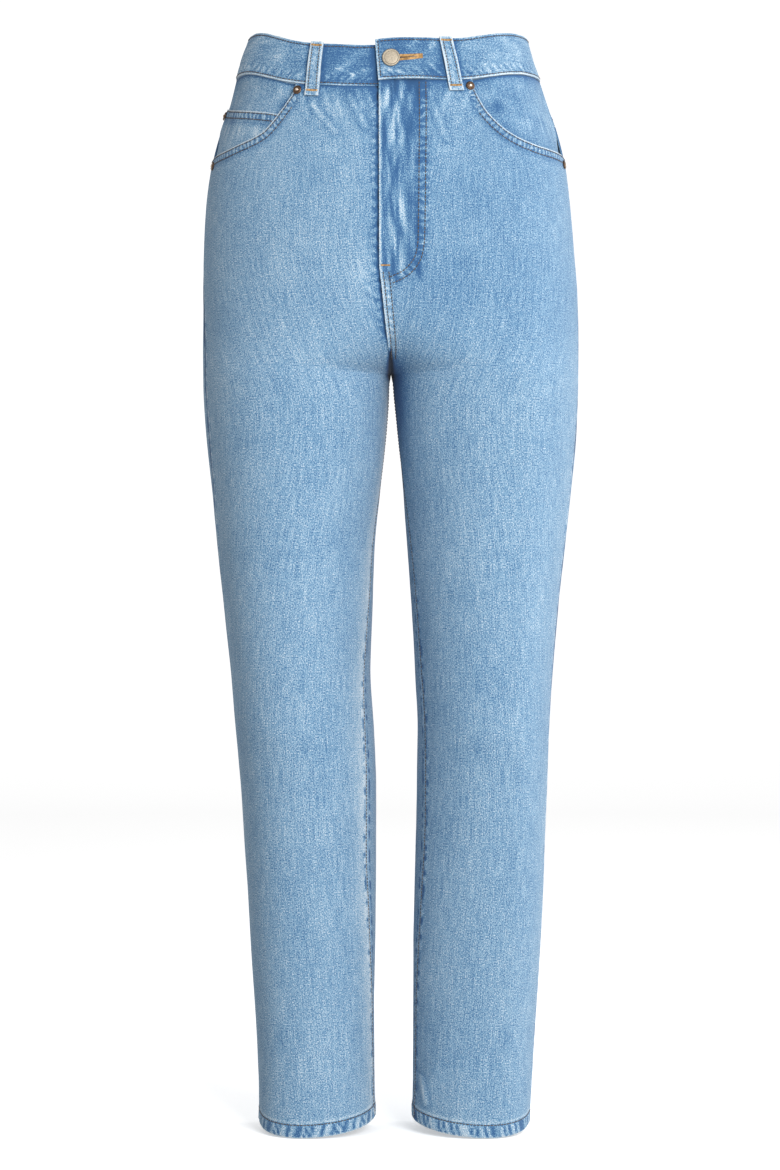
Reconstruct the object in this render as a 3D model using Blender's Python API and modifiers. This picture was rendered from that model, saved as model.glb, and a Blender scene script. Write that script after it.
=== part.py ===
"""High-rise mom jeans in their worn, filled-out shape, with nobody in them.

Metres, +Z up. The front faces -Y, so the wearer's right side is at -X and the wearer's left side at +X.
The origin is the middle of the waist opening, where a wearer's waist holds the garment up.
The body of the garment is a stack of level curves. Each half of the hips, and each leg, is one closed
curve made of four quarter ellipses, and the hips are what is left of the two where they meet at x = 0.
"""
import math

import bmesh
import bpy
import numpy as np
from mathutils import Matrix, Vector

MM = 0.001
SIGN = {"right": -1.0, "left": 1.0}
OTHER = {"right": "left", "left": "right"}

# Cloth and gaps
CLOTH = 1.2 * MM
SEAM_GAP = 0.3 * MM
PATCH_GAP = 0.6 * MM
HEM_THICK = 2.8 * MM
HEM_DEPTH = 12 * MM

# Levels
CROTCH_Z = -286 * MM
HEM_Z = -951 * MM
HEM_TILT = 0.185
HEM_SLANT = 0.04
HEM_TILT_REACH = 140 * MM
BLOCK_IN_Z = -140 * MM
BLOCK_OUT_Z = -152 * MM
CROTCH_OUT_Z = -300 * MM

# Waistband
BAND_HEIGHT = 37 * MM
BAND_THICK = 2.2 * MM
BAND_PROUD = 0.6 * MM
OVERLAP_TOP_X = -13.9 * MM
OVERLAP_LOW_X = -10.3 * MM
UNDERLAP_X = 30 * MM
OVERLAP_LIFT = 1.4 * MM
UNDERLAP_DROP = 2.3 * MM

# Fly
FLY_LIFT = 0.8 * MM
FLY_END_Z = -252 * MM
FLY_LEVEL_LEFT = 9 * MM
FLY_LEVEL_RIGHT = 6 * MM
FLY_FADE = 12 * MM
FLAT_TO_X = 32 * MM
FLAT_FADE = 21 * MM
SHIELD_FROM_X = -16 * MM
SHIELD_TO_X = 30 * MM
SHIELD_TOP_Z = -38.5 * MM
SHIELD_LOW_Z = -192 * MM
SHIELD_GAP = 0.9 * MM

# Button, buttonhole and rivets
BUTTON_R = 7.9 * MM
BUTTON_DOWN = 0.49
SHANK_R = 2.3 * MM
EYE_R = 3.0 * MM
SLIT_WIDTH = 1.4 * MM
SLIT_END_X = 23 * MM
RIVET_R = 4.0 * MM
RIVET_HEIGHT = 2.2 * MM
RIVET_GAP = 0.5 * MM
TACK_R = 4.6 * MM

# Belt loops
LOOP_WIDTH = 12.0 * MM
LOOP_THICK = 1.8 * MM
LOOP_GAP = 0.6 * MM
LOOP_BOW = 1.0 * MM
LOOP_ROWS = (-0.02, 0.12, 0.3, 0.5, 0.7, 0.88, 1.0, 1.1, 1.28)
LOOP_SETTLE = (0.98, 1.1)

# Pockets
FACING_DEPTH = 3.4 * MM
FACING_BELOW_SCOOP = 24 * MM
FACING_TUCK = 0.03
FACING_TOP_LIFT = 0.5
FACING_TOP_FADE = 14 * MM
FACING_SIDE_LIFT = 0.8
FACING_SIDE_SHARE = 0.9
FACING_SIDE_Z = -84 * MM
FACING_SIDE_FADE = 22 * MM
COIN_THICK = 1.0 * MM
COIN_GAP = 0.45 * MM
COIN_IN_Z = -59.9 * MM
COIN_OUT_Z = -44.7 * MM
COIN_TOP_BEND = 0.75
COIN_SHARES = (0.43, 0.995)
COIN_BELOW_SCOOP = 14 * MM
YOKE_CENTRE = 68 * MM
YOKE_SIDE = 40 * MM
POCKET_TOP_WIDTH = 142 * MM
POCKET_LOW_WIDTH = 126 * MM
POCKET_SIDE = 128 * MM
POCKET_POINT = 22 * MM
POCKET_FROM_CENTRE = 116 * MM
POCKET_LEAN = 7 * MM
POCKET_REACH = 226 * MM
POCKET_BELOW_YOKE = 13 * MM

# How much fuller than an ellipse the outer quarters are, and how far the legs turn out and over what length
FULLNESS = 0.03
TOE_OUT = 0.14
TOE_OUT_LENGTH = 400 * MM

# A level curve for each height. All in mm. out and in are how far each half reaches from x = 0, front and
# back are its y limits, and side_mid and inner_mid are where it is widest and where it is innermost.
OUTLINE = (
    ("z", "right_out", "left_out", "right_in", "left_in", "front", "back", "side_mid", "inner_mid"),
    (32, 122.0, 117.0, 0, 0, -80, 82, 0, 0),
    (20, 126.0, 121.5, 0, 0, -82, 84, 0, 0),
    (0, 134.0, 127.0, 0, 0, -87, 88, 0, 0),
    (-17, 138.6, 133.0, 0, 0, -90, 92, 0, 0),
    (-40, 144.5, 140.5, 0, 0, -96, 100, 1, 0),
    (-68, 154.0, 150.0, 0, 0, -102, 111, 3, -2),
    (-95, 161.0, 156.5, 0, 0, -106, 121, 5, -4),
    (-135, 166.5, 161.5, 0, 0, -110, 133, 8, -8),
    (-175, 168.5, 165.0, 0, 0, -112, 140, 10, -12),
    (-216, 169.0, 168.0, 0, 0, -112, 142, 10, -15),
    (-256, 169.5, 168.5, 0, 0, -109, 137, 9, -17),
    (-286, 169.0, 168.5, 0, 0, -106, 128, 8, -18),
    (-333, 166.5, 167.0, 2.7, 4.4, -103, 112, 6, -15),
    (-387, 161.0, 162.0, 9.5, 10.4, -101, 101, 3, -12),
    (-441, 155.7, 156.0, 14.8, 14.6, -100, 93, 0, -10),
    (-495, 149.4, 149.8, 16.6, 18.6, -99, 86, -4, -10),
    (-549, 143.2, 144.8, 18.4, 21.6, -97, 79, -8, -10),
    (-603, 138.6, 141.3, 15.2, 23.9, -92, 74, -9, -9),
    (-657, 134.0, 139.5, 13.4, 23.4, -85, 70, -8, -8),
    (-738, 128.7, 136.6, 13.6, 21.0, -74, 65, -5, -5),
    (-819, 124.0, 132.5, 14.4, 20.0, -64, 62, -1, -1),
    (-873, 120.8, 129.0, 15.0, 19.8, -58, 61, 1, 1),
    (-927, 118.6, 125.8, 14.8, 19.6, -54, 59, 2, 2),
    (-970, 118.4, 122.6, 13.6, 18.8, -52, 58, 3, 3),
)

# The hips above the crotch, as shares of how far the half reaches out. mid is where the curve is furthest
# forward or back, and reach is how far its inner quarter would run past that. Both are 0.5 at the crotch.
RISE = (
    ("z", "front_mid", "front_reach", "back_mid", "back_reach"),
    (32, 0.000, 1.000, 0.000, 1.000),
    (-30, 0.000, 1.000, 0.000, 1.000),
    (-68, 0.012, 0.985, 0.120, 0.930),
    (-135, 0.050, 0.960, 0.285, 0.805),
    (-175, 0.095, 0.940, 0.368, 0.740),
    (-216, 0.178, 0.890, 0.427, 0.655),
    (-240, 0.262, 0.800, 0.457, 0.602),
    (-256, 0.335, 0.695, 0.475, 0.568),
    (-270, 0.405, 0.590, 0.487, 0.540),
    (-280, 0.462, 0.525, 0.496, 0.514),
    (-286, 0.500, 0.500, 0.500, 0.500),
)

# How far each seam lies in front of the curve's widest or innermost point, in degrees.
SEAMS = (
    ("z", "right_outseam", "left_outseam", "right_inseam", "left_inseam"),
    (32, 0, 0, 0, 0),
    (-95, 1, 1, 0, 0),
    (-175, 4, 3, 0, 0),
    (-256, 17, 7, 0, 0),
    (-286, 20, 10, 0, 0),
    (-333, 22, 14, 2, 3),
    (-387, 20, 16, 6, 11),
    (-441, 16, 16, 13, 18),
    (-522, 8, 15, 20, 21),
    (-603, 1, 12, 27, 25),
    (-700, -3, 9, 28, 27),
    (-793, -4, 8, 21, 21),
    (-850, -4, 7, 14, 16),
    (-970, -4, 6, 6, 13),
)

# The visible edge of the fly and of the centre seam below it, and how far the right front runs under, in mm.
FLY = (
    ("z", "edge_x", "underlap"),
    (0, -10.9, 8.0),
    (-120, -10.5, 8.0),
    (-193, -10.3, 7.0),
    (-215, -8.1, 5.0),
    (-237, -5.9, 1.8),
    (-248, -4.7, 0.0),
    (-262, -2.9, 0.0),
    (-274, -1.3, 0.0),
    (-286, 0.0, 0.0),
)

# The front pocket mouth, from the waist seam to the outseam: distance from the centre and height, in mm.
SCOOP = {
    "right": (
        ("x", "z"),
        (82.5, -31.0),
        (85.6, -40.6),
        (90.8, -48.9),
        (96.9, -57.3),
        (103.8, -66.1),
        (112.9, -75.1),
        (127.6, -81.6),
        (148.4, -87.8),
        (161.1, -91.0),
    ),
    "left": (
        ("x", "z"),
        (70.8, -29.0),
        (73.2, -38.5),
        (76.7, -46.1),
        (82.4, -55.9),
        (91.9, -66.4),
        (103.7, -75.4),
        (118.1, -81.8),
        (132.9, -85.6),
        (156.0, -89.0),
    ),
}

# The height of the waistband's lower edge, in mm, at a turn round the waist, in degrees: 0 is the centre
# front on the left end, 90 the left side, 180 the centre back, and 360 the centre front on the right end.
WAIST_SEAM = (
    ("turn", "z"),
    (-8, -33.2),
    (6, -31.0),
    (20, -31.0),
    (28, -29.9),
    (38, -26.2),
    (49, -22.2),
    (60, -20.2),
    (90, -19.5),
    (135, -15.0),
    (180, -11.5),
    (225, -15.0),
    (270, -18.5),
    (291, -18.2),
    (300, -19.8),
    (311, -24.8),
    (322, -31.0),
    (334, -35.2),
    (350, -36.6),
    (375, -36.8),
)

# Broad soft folds: where each is centred, which way it runs, and its length, width and height, in mm and
# degrees. angle is that of the level curve, run is the tilt from level, and a negative height is a trough.
FOLDS = (
    ("side", "z", "angle", "run", "length", "width", "height"),
    ("right", -262, -118, 48, 90, 26, 1.2),
    ("left", -268, -120, 50, 80, 24, 1.2),
    ("right", -335, -138, 40, 120, 34, 1.6),
    ("left", -340, -136, 42, 110, 34, 1.6),
    ("right", -340, 128, 30, 150, 34, -2.4),
    ("left", -345, 126, 28, 150, 34, -2.4),
    ("right", -395, 118, 22, 140, 34, 2.0),
    ("left", -400, 122, 26, 130, 34, 2.0),
    ("right", -570, 100, 6, 110, 36, -2.6),
    ("left", -585, 96, -5, 110, 36, -2.6),
    ("right", -630, 84, -8, 100, 32, 2.2),
    ("left", -640, 88, 7, 100, 32, 2.2),
    ("right", -600, -70, 12, 100, 44, 1.5),
    ("left", -610, -84, -14, 100, 44, 1.5),
    ("left", -915, -140, 62, 75, 18, 1.6),
)

# Belt loops: x of the middle at the top and at the bottom, in mm, on the front, or the angle round the back.
FRONT_LOOPS = (
    ("name", "side", "top_x", "low_x"),
    ("belt_loop_front_right", "right", 64.4, 68.2),
    ("belt_loop_front_left", "left", 48.1, 55.8),
)
BACK_LOOPS = (
    ("name", "side", "angle"),
    ("belt_loop_back_right", "right", 34),
    ("belt_loop_back_left", "left", 34),
    ("belt_loop_centre_back", "left", 90),
)

# Rivets: distance from the centre and height, in mm, and what each is set on.
RIVETS = (
    ("name", "side", "x", "z", "on"),
    ("rivet_right_top", "right", 81.8, -39.1, "panel"),
    ("rivet_left_top", "left", 69.1, -36.0, "panel"),
    ("rivet_right_side", "right", 158.8, -98.0, "panel"),
    ("rivet_left_side", "left", 154.4, -96.5, "panel"),
    ("rivet_coin_pocket", "right", 148.2, -51.5, "coin"),
)

DENIM = (0.25, 0.41, 0.58)
DENIM_LIGHT = (0.33, 0.49, 0.64)
NICKEL = (0.47, 0.42, 0.34)
COPPER = (0.30, 0.19, 0.12)


def rows_of(table):
    """Each row of a table as a dict of its named columns."""
    names, *rows = table
    return [dict(zip(names, row)) for row in rows]


def smooth_curve(xs, ys):
    """A smooth function through the points that never overshoots them, level beyond its ends. xs rise."""
    xs = np.asarray(xs, float)
    ys = np.asarray(ys, float)
    steps = np.diff(ys) / np.diff(xs)
    before, after = steps[:-1], steps[1:]
    same_way = before * after > 0
    mean = np.where(same_way, 2 * before * after / np.where(same_way, before + after, 1.0), 0.0)
    slopes = np.concatenate([steps[:1], mean, steps[-1:]])

    def value(x):
        x = np.clip(x, xs[0], xs[-1])
        k = np.clip(np.searchsorted(xs, x) - 1, 0, len(xs) - 2)
        h = xs[k + 1] - xs[k]
        t = (x - xs[k]) / h
        rise = ys[k + 1] - ys[k]
        a = slopes[k] * h - rise
        b = rise - slopes[k + 1] * h
        return ys[k] + t * rise + t * (1 - t) * ((1 - t) * a + t * b)

    return value


def columns(table, unit=MM):
    """Each named column of a table as a smooth function of z."""
    rows = sorted(rows_of(table), key=lambda r: r["z"])
    zs = [r["z"] * MM for r in rows]
    return {n: smooth_curve(zs, [r[n] * unit for r in rows]) for n in table[0] if n != "z"}


OUTLINE_AT = columns(OUTLINE)
RISE_AT = columns(RISE, 1.0)
SEAM_AT = columns(SEAMS, math.pi / 180)
FLY_AT = columns(FLY)
waist_seam = smooth_curve(
    [math.radians(r["turn"]) for r in rows_of(WAIST_SEAM)], [r["z"] * MM for r in rows_of(WAIST_SEAM)]
)


def ease(t):
    """0 below 0, 1 above 1, and a smooth step between."""
    t = np.clip(t, 0.0, 1.0)
    return t * t * (3 - 2 * t)


def quarters(side, z):
    """The numbers of the level curve at z: its reaches, and the middles of its front and back."""
    out = OUTLINE_AT[side + "_out"](z)
    inner = OUTLINE_AT[side + "_in"](z)
    above = z > CROTCH_Z
    middle = (out + inner) / 2
    turned = TOE_OUT * ease((CROTCH_Z - z) / TOE_OUT_LENGTH) * (out - inner) / 2
    front_mid = np.where(above, RISE_AT["front_mid"](z) * out, middle + turned)
    back_mid = np.where(above, RISE_AT["back_mid"](z) * out, middle - turned)
    front_reach = np.where(above, RISE_AT["front_reach"](z) * out, front_mid - inner)
    back_reach = np.where(above, RISE_AT["back_reach"](z) * out, back_mid - inner)
    return out, front_mid, front_reach, back_mid, back_reach


def level_point(side, z, angle):
    """The point of one half's level curve at an angle: 0 outermost, -90 degrees front, +90 back, 180 inner.
    Its x is measured away from the centre."""
    z = np.asarray(z, float)
    angle = (np.asarray(angle, float) + math.pi) % (2 * math.pi) - math.pi
    out, front_mid, front_reach, back_mid, back_reach = quarters(side, z)
    front = angle < 0
    outer = np.abs(angle) <= math.pi / 2
    mid = np.where(front, front_mid, back_mid)
    reach = np.where(outer, out - mid, np.where(front, front_reach, back_reach))
    limit = np.where(front, OUTLINE_AT["front"](z), OUTLINE_AT["back"](z))
    level = np.where(outer, OUTLINE_AT["side_mid"](z), OUTLINE_AT["inner_mid"](z))
    full = 1 + np.where(outer, FULLNESS, 0.0) * np.sin(2 * angle) ** 2
    x = mid + reach * np.cos(angle) * full
    y = level + (limit - level) * np.abs(np.sin(angle)) * full
    return np.stack([x, y, z + 0 * x], -1)


def centre_angle(side, z, back=False):
    """The angle at which the level curve meets x = 0 above the crotch, and its innermost point below it."""
    _, front_mid, front_reach, back_mid, back_reach = quarters(side, z)
    mid, reach = (back_mid, back_reach) if back else (front_mid, front_reach)
    angle = np.where(z > CROTCH_Z, math.pi - np.arccos(np.clip(mid / reach, -1, 1)), math.pi)
    return angle if back else -angle


def angle_at_x(side, z, x):
    """The front angle of the inner quarter at a distance from the centre."""
    _, mid, reach, _, _ = quarters(side, z)
    return -np.arccos(np.clip((x - mid) / reach, -1, 1))


def arc_angle(side, z, start, distance):
    """The angle reached by walking a distance along the level curve at one height from a start angle."""
    angles = np.radians(np.linspace(-180, 180, 721))
    points = level_point(side, np.full(len(angles), z), angles)
    lengths = np.concatenate([[0], np.cumsum(np.linalg.norm(np.diff(points, axis=0), axis=1))])
    there = np.interp(start, angles, lengths) + distance
    return np.interp(there, lengths, angles)


def angle_of_x(side, z, x):
    """The front angle at a distance from the centre, anywhere on the front of the level curve."""
    angles = np.radians(np.linspace(-180, 0, 721))
    xs = level_point(side, np.full(len(angles), z), angles)[:, 0]
    return np.interp(x, xs, angles)


def fold_height(side, z, angle):
    """The height of the broad folds at a point of one half's level curve."""
    round_it = OUTLINE_AT[side + "_out"](z) - OUTLINE_AT[side + "_in"](z)
    radius = (round_it + OUTLINE_AT["back"](z) - OUTLINE_AT["front"](z)) / 4
    total = np.zeros(np.broadcast(z, angle).shape)
    for fold in rows_of(FOLDS):
        if fold["side"] != side:
            continue
        turn = (angle - math.radians(fold["angle"]) + math.pi) % (2 * math.pi) - math.pi
        across = turn * radius
        down = z - fold["z"] * MM
        run = math.radians(fold["run"])
        along = across * math.cos(run) + down * math.sin(run)
        beside = -across * math.sin(run) + down * math.cos(run)
        shape = np.exp(-((2 * along / (fold["length"] * MM)) ** 2) - (2 * beside / (fold["width"] * MM)) ** 2)
        total = total + fold["height"] * MM * shape
    return total


def placed(side, points):
    """Own-side points in the garment's frame."""
    return points * np.array([SIGN[side], 1.0, 1.0])


def surface(side, z, turn, back=False):
    """The garment's surface at a turn from the centre seam of one half. A negative turn is past the centre,
    on the other half."""
    z = np.asarray(z, float)
    turn = np.asarray(turn, float)
    way = -1.0 if back else 1.0
    own_angle = centre_angle(side, z, back) + way * turn
    own = level_point(side, z, own_angle)
    other_angle = centre_angle(OTHER[side], z, back) - way * turn
    other = level_point(OTHER[side], z, other_angle)
    past = ((turn < 0) & (z > CROTCH_Z))[..., None]
    return np.where(past, placed(OTHER[side], other), placed(side, own))


def front_limit(side, z):
    """How near the middle plane a front panel comes above the crotch, or how far past it, on its own side."""
    edge = FLY_AT["edge_x"](z)
    return edge if side == "left" else -edge - FLY_AT["underlap"](z)


def front_start(side, z):
    """The turn at which a front panel starts: the fly edge or its underlap, and the inseam on the leg."""
    limit = front_limit(side, z)
    start = -SIGN[side] * (angle_at_x("right", z, np.abs(limit)) - centre_angle("right", z))
    return np.where(z > CROTCH_Z, start, SEAM_AT[side + "_inseam"](z))


def front_end(side, z):
    """The turn of the outseam, from the centre front."""
    return -SEAM_AT[side + "_outseam"](z) - centre_angle(side, z)


def back_start(side, z):
    """The turn at which a back panel starts: the centre back, and the inseam on the leg."""
    return np.where(z > CROTCH_Z, 0.0, -SEAM_AT[side + "_inseam"](z))


def back_end(side, z):
    """The turn of the outseam, from the centre back."""
    return centre_angle(side, z, True) + SEAM_AT[side + "_outseam"](z)


def centre_curve(side, back):
    """Heights spaced evenly along the centre seam, from the top block down to the crotch."""
    zs = np.linspace(BLOCK_IN_Z, CROTCH_Z, 400)
    points = level_point(side, zs, centre_angle(side, zs, back))
    lengths = np.concatenate([[0], np.cumsum(np.linalg.norm(np.diff(points, axis=0), axis=1))])
    shares = lengths / lengths[-1]
    return lambda share: np.interp(share, shares, zs)


CENTRE_Z = {(side, back): centre_curve(side, back) for side in SIGN for back in (False, True)}


def scoop_curve(side):
    """The height of a front panel's upper edge past the rivet, over its share of the way round."""
    shares, heights = [], []
    for row in rows_of(SCOOP[side]):
        z = row["z"] * MM
        angle = angle_of_x(side, z, row["x"] * MM)
        start = centre_angle(side, z) + front_start(side, z)
        end = centre_angle(side, z) + front_end(side, z)
        shares.append(float((angle - start) / (end - start)))
        heights.append(z)
    shares[-1] = 1.0
    return shares[0], smooth_curve(shares, heights)


SCOOP_AT = {side: scoop_curve(side) for side in SIGN}


def front_seam_turn(side, u):
    """The turn round the waist at which a share of the way round the front meets the waist seam."""
    turn = np.zeros(np.shape(u))
    for _ in range(4):
        z = waist_seam(turn) - SEAM_GAP
        start = front_start(side, z)
        own = start + u * (front_end(side, z) - start)
        turn = own if side == "left" else 2 * math.pi - own
    return turn


def front_seam_height(side, u):
    """The height of a front piece's edge along the waist seam at a share of the way round the front."""
    return waist_seam(front_seam_turn(side, u)) - SEAM_GAP


def front_top(side, u):
    """The height of a front panel's upper edge: the waist seam, and the pocket mouth past the rivet."""
    seam = front_seam_height(side, u)
    first, scoop = SCOOP_AT[side]
    return np.where(u > first, np.minimum(seam, scoop(u)), seam)


def back_seam_turn(side, u):
    """The turn round the waist at a share of the way from the centre back to the side."""
    return math.pi - SIGN[side] * u * math.pi / 2


def waist_top_of_back(side, u):
    """The height of the yoke's upper edge at a share of the way from the centre back."""
    return waist_seam(back_seam_turn(side, u)) - SEAM_GAP


def yoke_seam(side, u):
    """The height of the yoke's lower edge."""
    return waist_top_of_back(side, u) - (YOKE_CENTRE + (YOKE_SIDE - YOKE_CENTRE) * u)


def panel_height(side, back, u, v):
    """The height at u across and v down a panel: v 0 to 1 is the top block, 1 to 2 reaches the crotch, and
    2 to 3 is the leg."""
    top = yoke_seam(side, u) - SEAM_GAP if back else front_top(side, u)
    inner = np.where(v < 2, CENTRE_Z[(side, back)](v - 1), CROTCH_Z + (v - 2) * (HEM_Z - CROTCH_Z))
    outer_leg = CROTCH_OUT_Z + (v - 2) * (HEM_Z - CROTCH_OUT_Z)
    outer = np.where(v < 2, BLOCK_OUT_Z + (v - 1) * (CROTCH_OUT_Z - BLOCK_OUT_Z), outer_leg)
    level = inner + u * (outer - inner)
    low = BLOCK_IN_Z + u * (BLOCK_OUT_Z - BLOCK_IN_Z)
    return np.where(v < 1, top + v * (low - top), level)


def panel_point(side, back, u, v):
    """The outer surface of a front or back panel at u from the inner edge and v from the top."""
    u, v = np.broadcast_arrays(np.asarray(u, float), np.asarray(v, float))
    z = panel_height(side, back, u, v)
    start = back_start(side, z) if back else front_start(side, z)
    end = back_end(side, z) if back else front_end(side, z)
    turn = start + u * (end - start)
    point = surface(side, z, turn, back)
    middle = OUTLINE_AT["side_mid"](z)
    across = (OUTLINE_AT[side + "_out"](z) + OUTLINE_AT[side + "_in"](z)) / 2 - np.abs(point[..., 0])
    rise = HEM_TILT * (point[..., 1] - middle) + HEM_SLANT * across
    point[..., 2] += rise * ease((HEM_Z + HEM_TILT_REACH - z) / HEM_TILT_REACH)
    return point


def fly_offset(side, point):
    """How far a front panel stands out beside the fly, so that the left front laps over the right."""
    z = point[..., 2]
    edge = FLY_AT["edge_x"](z)
    shown = ease((z - CROTCH_Z) / (FLY_END_Z - CROTCH_Z))
    if side == "left":
        return FLY_LIFT * shown * (1 - ease((point[..., 0] - edge - FLY_LEVEL_LEFT) / FLY_FADE))
    return -FLY_LIFT * shown * (1 - ease((edge - point[..., 0] - FLY_LEVEL_RIGHT) / FLY_FADE))


def normals_of(points_at, us, vs, clamp):
    """Outward unit normals of points_at(u, v), from small steps that stay inside the clamp."""
    step = 0.002
    u_low, u_high, v_low, v_high = clamp
    du = points_at(np.minimum(us + step, u_high), vs) - points_at(np.maximum(us - step, u_low), vs)
    dv = points_at(us, np.minimum(vs + step, v_high)) - points_at(us, np.maximum(vs - step, v_low))
    normal = np.cross(du, dv)
    return normal / np.maximum(np.linalg.norm(normal, axis=-1, keepdims=True), 1e-12)


def keep_to_side(side, points, least):
    """Own-side points kept at least a distance from the middle plane."""
    own = points[..., 0] * SIGN[side]
    points[..., 0] = SIGN[side] * np.maximum(own, least)
    return points


def trim_edges(points, left=False, right=False):
    """Pulls the first or last column in by half a seam gap."""
    moved = points.copy()
    for edge, inside, wanted in ((0, 1, left), (-1, -2, right)):
        if wanted:
            step = points[:, inside] - points[:, edge]
            step /= np.linalg.norm(step, axis=-1, keepdims=True)
            moved[:, edge] += step * SEAM_GAP / 2
    return moved


def material(name, colour, roughness, metallic=0.0):
    """A plain Principled material."""
    made = bpy.data.materials.new(name)
    made.use_nodes = True
    made.diffuse_color = (*colour, 1.0)
    shader = made.node_tree.nodes["Principled BSDF"]
    shader.inputs["Base Color"].default_value = (*colour, 1.0)
    shader.inputs["Roughness"].default_value = roughness
    shader.inputs["Metallic"].default_value = metallic
    return made


def object_of(name, mesh, collection, finish):
    """A named object with one material, shaded smooth up to its sharp edges."""
    mesh.materials.clear()
    mesh.materials.append(finish)
    mesh.shade_smooth()
    mesh.set_sharp_from_angle(angle=math.radians(40))
    made = bpy.data.objects.new(name, mesh)
    collection.objects.link(made)
    return made


def wall_mesh(name, outer, inner):
    """A closed wall between two grids of points of the same size."""
    rows, cols = outer.shape[:2]
    bm = bmesh.new()
    skins = []
    for grid in (outer, inner):
        skins.append([[bm.verts.new(Vector(grid[r, c])) for c in range(cols)] for r in range(rows)])
    for skin in skins:
        for r in range(rows - 1):
            for c in range(cols - 1):
                bm.faces.new((skin[r][c], skin[r][c + 1], skin[r + 1][c + 1], skin[r + 1][c]))
    rim = [(0, c) for c in range(cols)] + [(r, cols - 1) for r in range(1, rows)]
    rim += [(rows - 1, c) for c in range(cols - 2, -1, -1)] + [(r, 0) for r in range(rows - 2, 0, -1)]
    for (r0, c0), (r1, c1) in zip(rim, rim[1:] + rim[:1]):
        bm.faces.new((skins[0][r0][c0], skins[0][r1][c1], skins[1][r1][c1], skins[1][r0][c0]))
    bmesh.ops.recalc_face_normals(bm, faces=bm.faces)
    bmesh.ops.triangulate(bm, faces=bm.faces, quad_method="FIXED")
    mesh = bpy.data.meshes.new(name)
    bm.to_mesh(mesh)
    bm.free()
    return mesh


def grid(us, vs):
    """Two arrays of every u and v, rows down and columns across."""
    return np.meshgrid(np.asarray(us, float), np.asarray(vs, float))


def panel_rows():
    """The v of each row of a long panel, with a close pair at the hem's turning."""
    leg = HEM_Z - CROTCH_Z
    hem_v = 3 - HEM_DEPTH / abs(leg)
    return np.concatenate([
        np.linspace(0, 1, 6),
        np.linspace(1, 2, 9)[1:],
        np.linspace(2, hem_v, 22)[1:],
        [hem_v + 0.6 * MM / abs(leg), 3.0],
    ])


def front_shares(side):
    """The shares across a front at which its columns stand, one of them at the pocket mouth's start."""
    first = SCOOP_AT[side][0]
    return np.concatenate([[0, 0.05, 0.11], np.linspace(0.19, first, 4), np.linspace(first, 1, 10)[1:]])


def facing_shares(side):
    """The shares across a front at which the columns of the pocket facing stand."""
    first = SCOOP_AT[side][0]
    return np.concatenate([[first - FACING_TUCK], np.linspace(first, 1, 12)])


BACK_SHARES = np.linspace(0, 1, 13)
LEAST_TURN = 0.0001


def panel_offset(side, back, u, point):
    """How far a panel's points move off the surface, for the folds and the fly."""
    z = point[..., 2]
    start = back_start(side, z) if back else front_start(side, z)
    end = back_end(side, z) if back else front_end(side, z)
    turn = start + u * (end - start)
    folds = fold_height(side, z, centre_angle(side, z, back) + (-turn if back else turn))
    if back:
        return folds
    near_fly = ease((FLAT_TO_X - point[..., 0] * SIGN[side]) / FLAT_FADE)
    return folds * (1 - near_fly * ease((z - CROTCH_Z) / FLAT_FADE)) + fly_offset(side, point)


def build_panel(name, side, back, collection, finish):
    """One long front or back panel, from its upper edge to the hem."""
    u, v = grid(BACK_SHARES if back else front_shares(side), panel_rows())
    points_at = lambda a, b: panel_point(side, back, a, b)
    outer = points_at(u, v)
    normal = normals_of(points_at, u, v, (0, 1, 0, 3)) * (SIGN[side] if back else -SIGN[side])
    outer = outer + normal * panel_offset(side, back, u, outer)[..., None]
    outer = trim_edges(outer, left=True, right=True)
    hem = v > 3 - HEM_DEPTH / abs(HEM_Z - CROTCH_Z) + 1e-6
    thick = np.where(hem, HEM_THICK, CLOTH)
    inner = outer - normal * thick[..., None]
    for points in (outer, inner):
        least = 0.0 if back else np.where(points[..., 2] > CROTCH_Z, front_limit(side, points[..., 2]), 0.0)
        keep_to_side(side, points, least + SEAM_GAP / 2)
    object_of(name, wall_mesh(name, outer, inner), collection, finish)


def yoke_point(side, u, v):
    """The outer surface of a back yoke, u from the centre back and v down."""
    u, v = np.broadcast_arrays(np.asarray(u, float), np.asarray(v, float))
    top = waist_top_of_back(side, u)
    z = top + v * (yoke_seam(side, u) - top)
    return surface(side, z, u * back_end(side, z), True)


def build_yoke(name, side, collection, finish):
    """One half of the back yoke."""
    u, v = grid(BACK_SHARES, np.linspace(0, 1, 4))
    points_at = lambda a, b: yoke_point(side, a, b)
    outer = points_at(u, v)
    normal = normals_of(points_at, u, v, (0, 1, 0, 1)) * SIGN[side]
    outer = trim_edges(outer, right=True)
    inner = outer - normal * CLOTH
    for points in (outer, inner):
        keep_to_side(side, points, SEAM_GAP / 2)
    object_of(name, wall_mesh(name, outer, inner), collection, finish)


def band_angle(turn):
    """Whether a turn round the waist is on the left half, and its level-curve angle. The turn is 0 at the
    centre front and grows past the left side."""
    turn = np.asarray(turn, float) % (2 * math.pi)
    left = turn <= math.pi
    return left, np.where(left, turn - math.pi / 2, 3 * math.pi / 2 - turn)


def band_offset(turn):
    """How far the waistband stands off the body where its two ends lap."""
    lift = OVERLAP_LIFT * (1 - ease((turn - math.radians(12)) / math.radians(12)))
    drop = UNDERLAP_DROP * ease((turn - math.radians(338)) / math.radians(11))
    return BAND_PROUD + lift - drop


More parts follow.
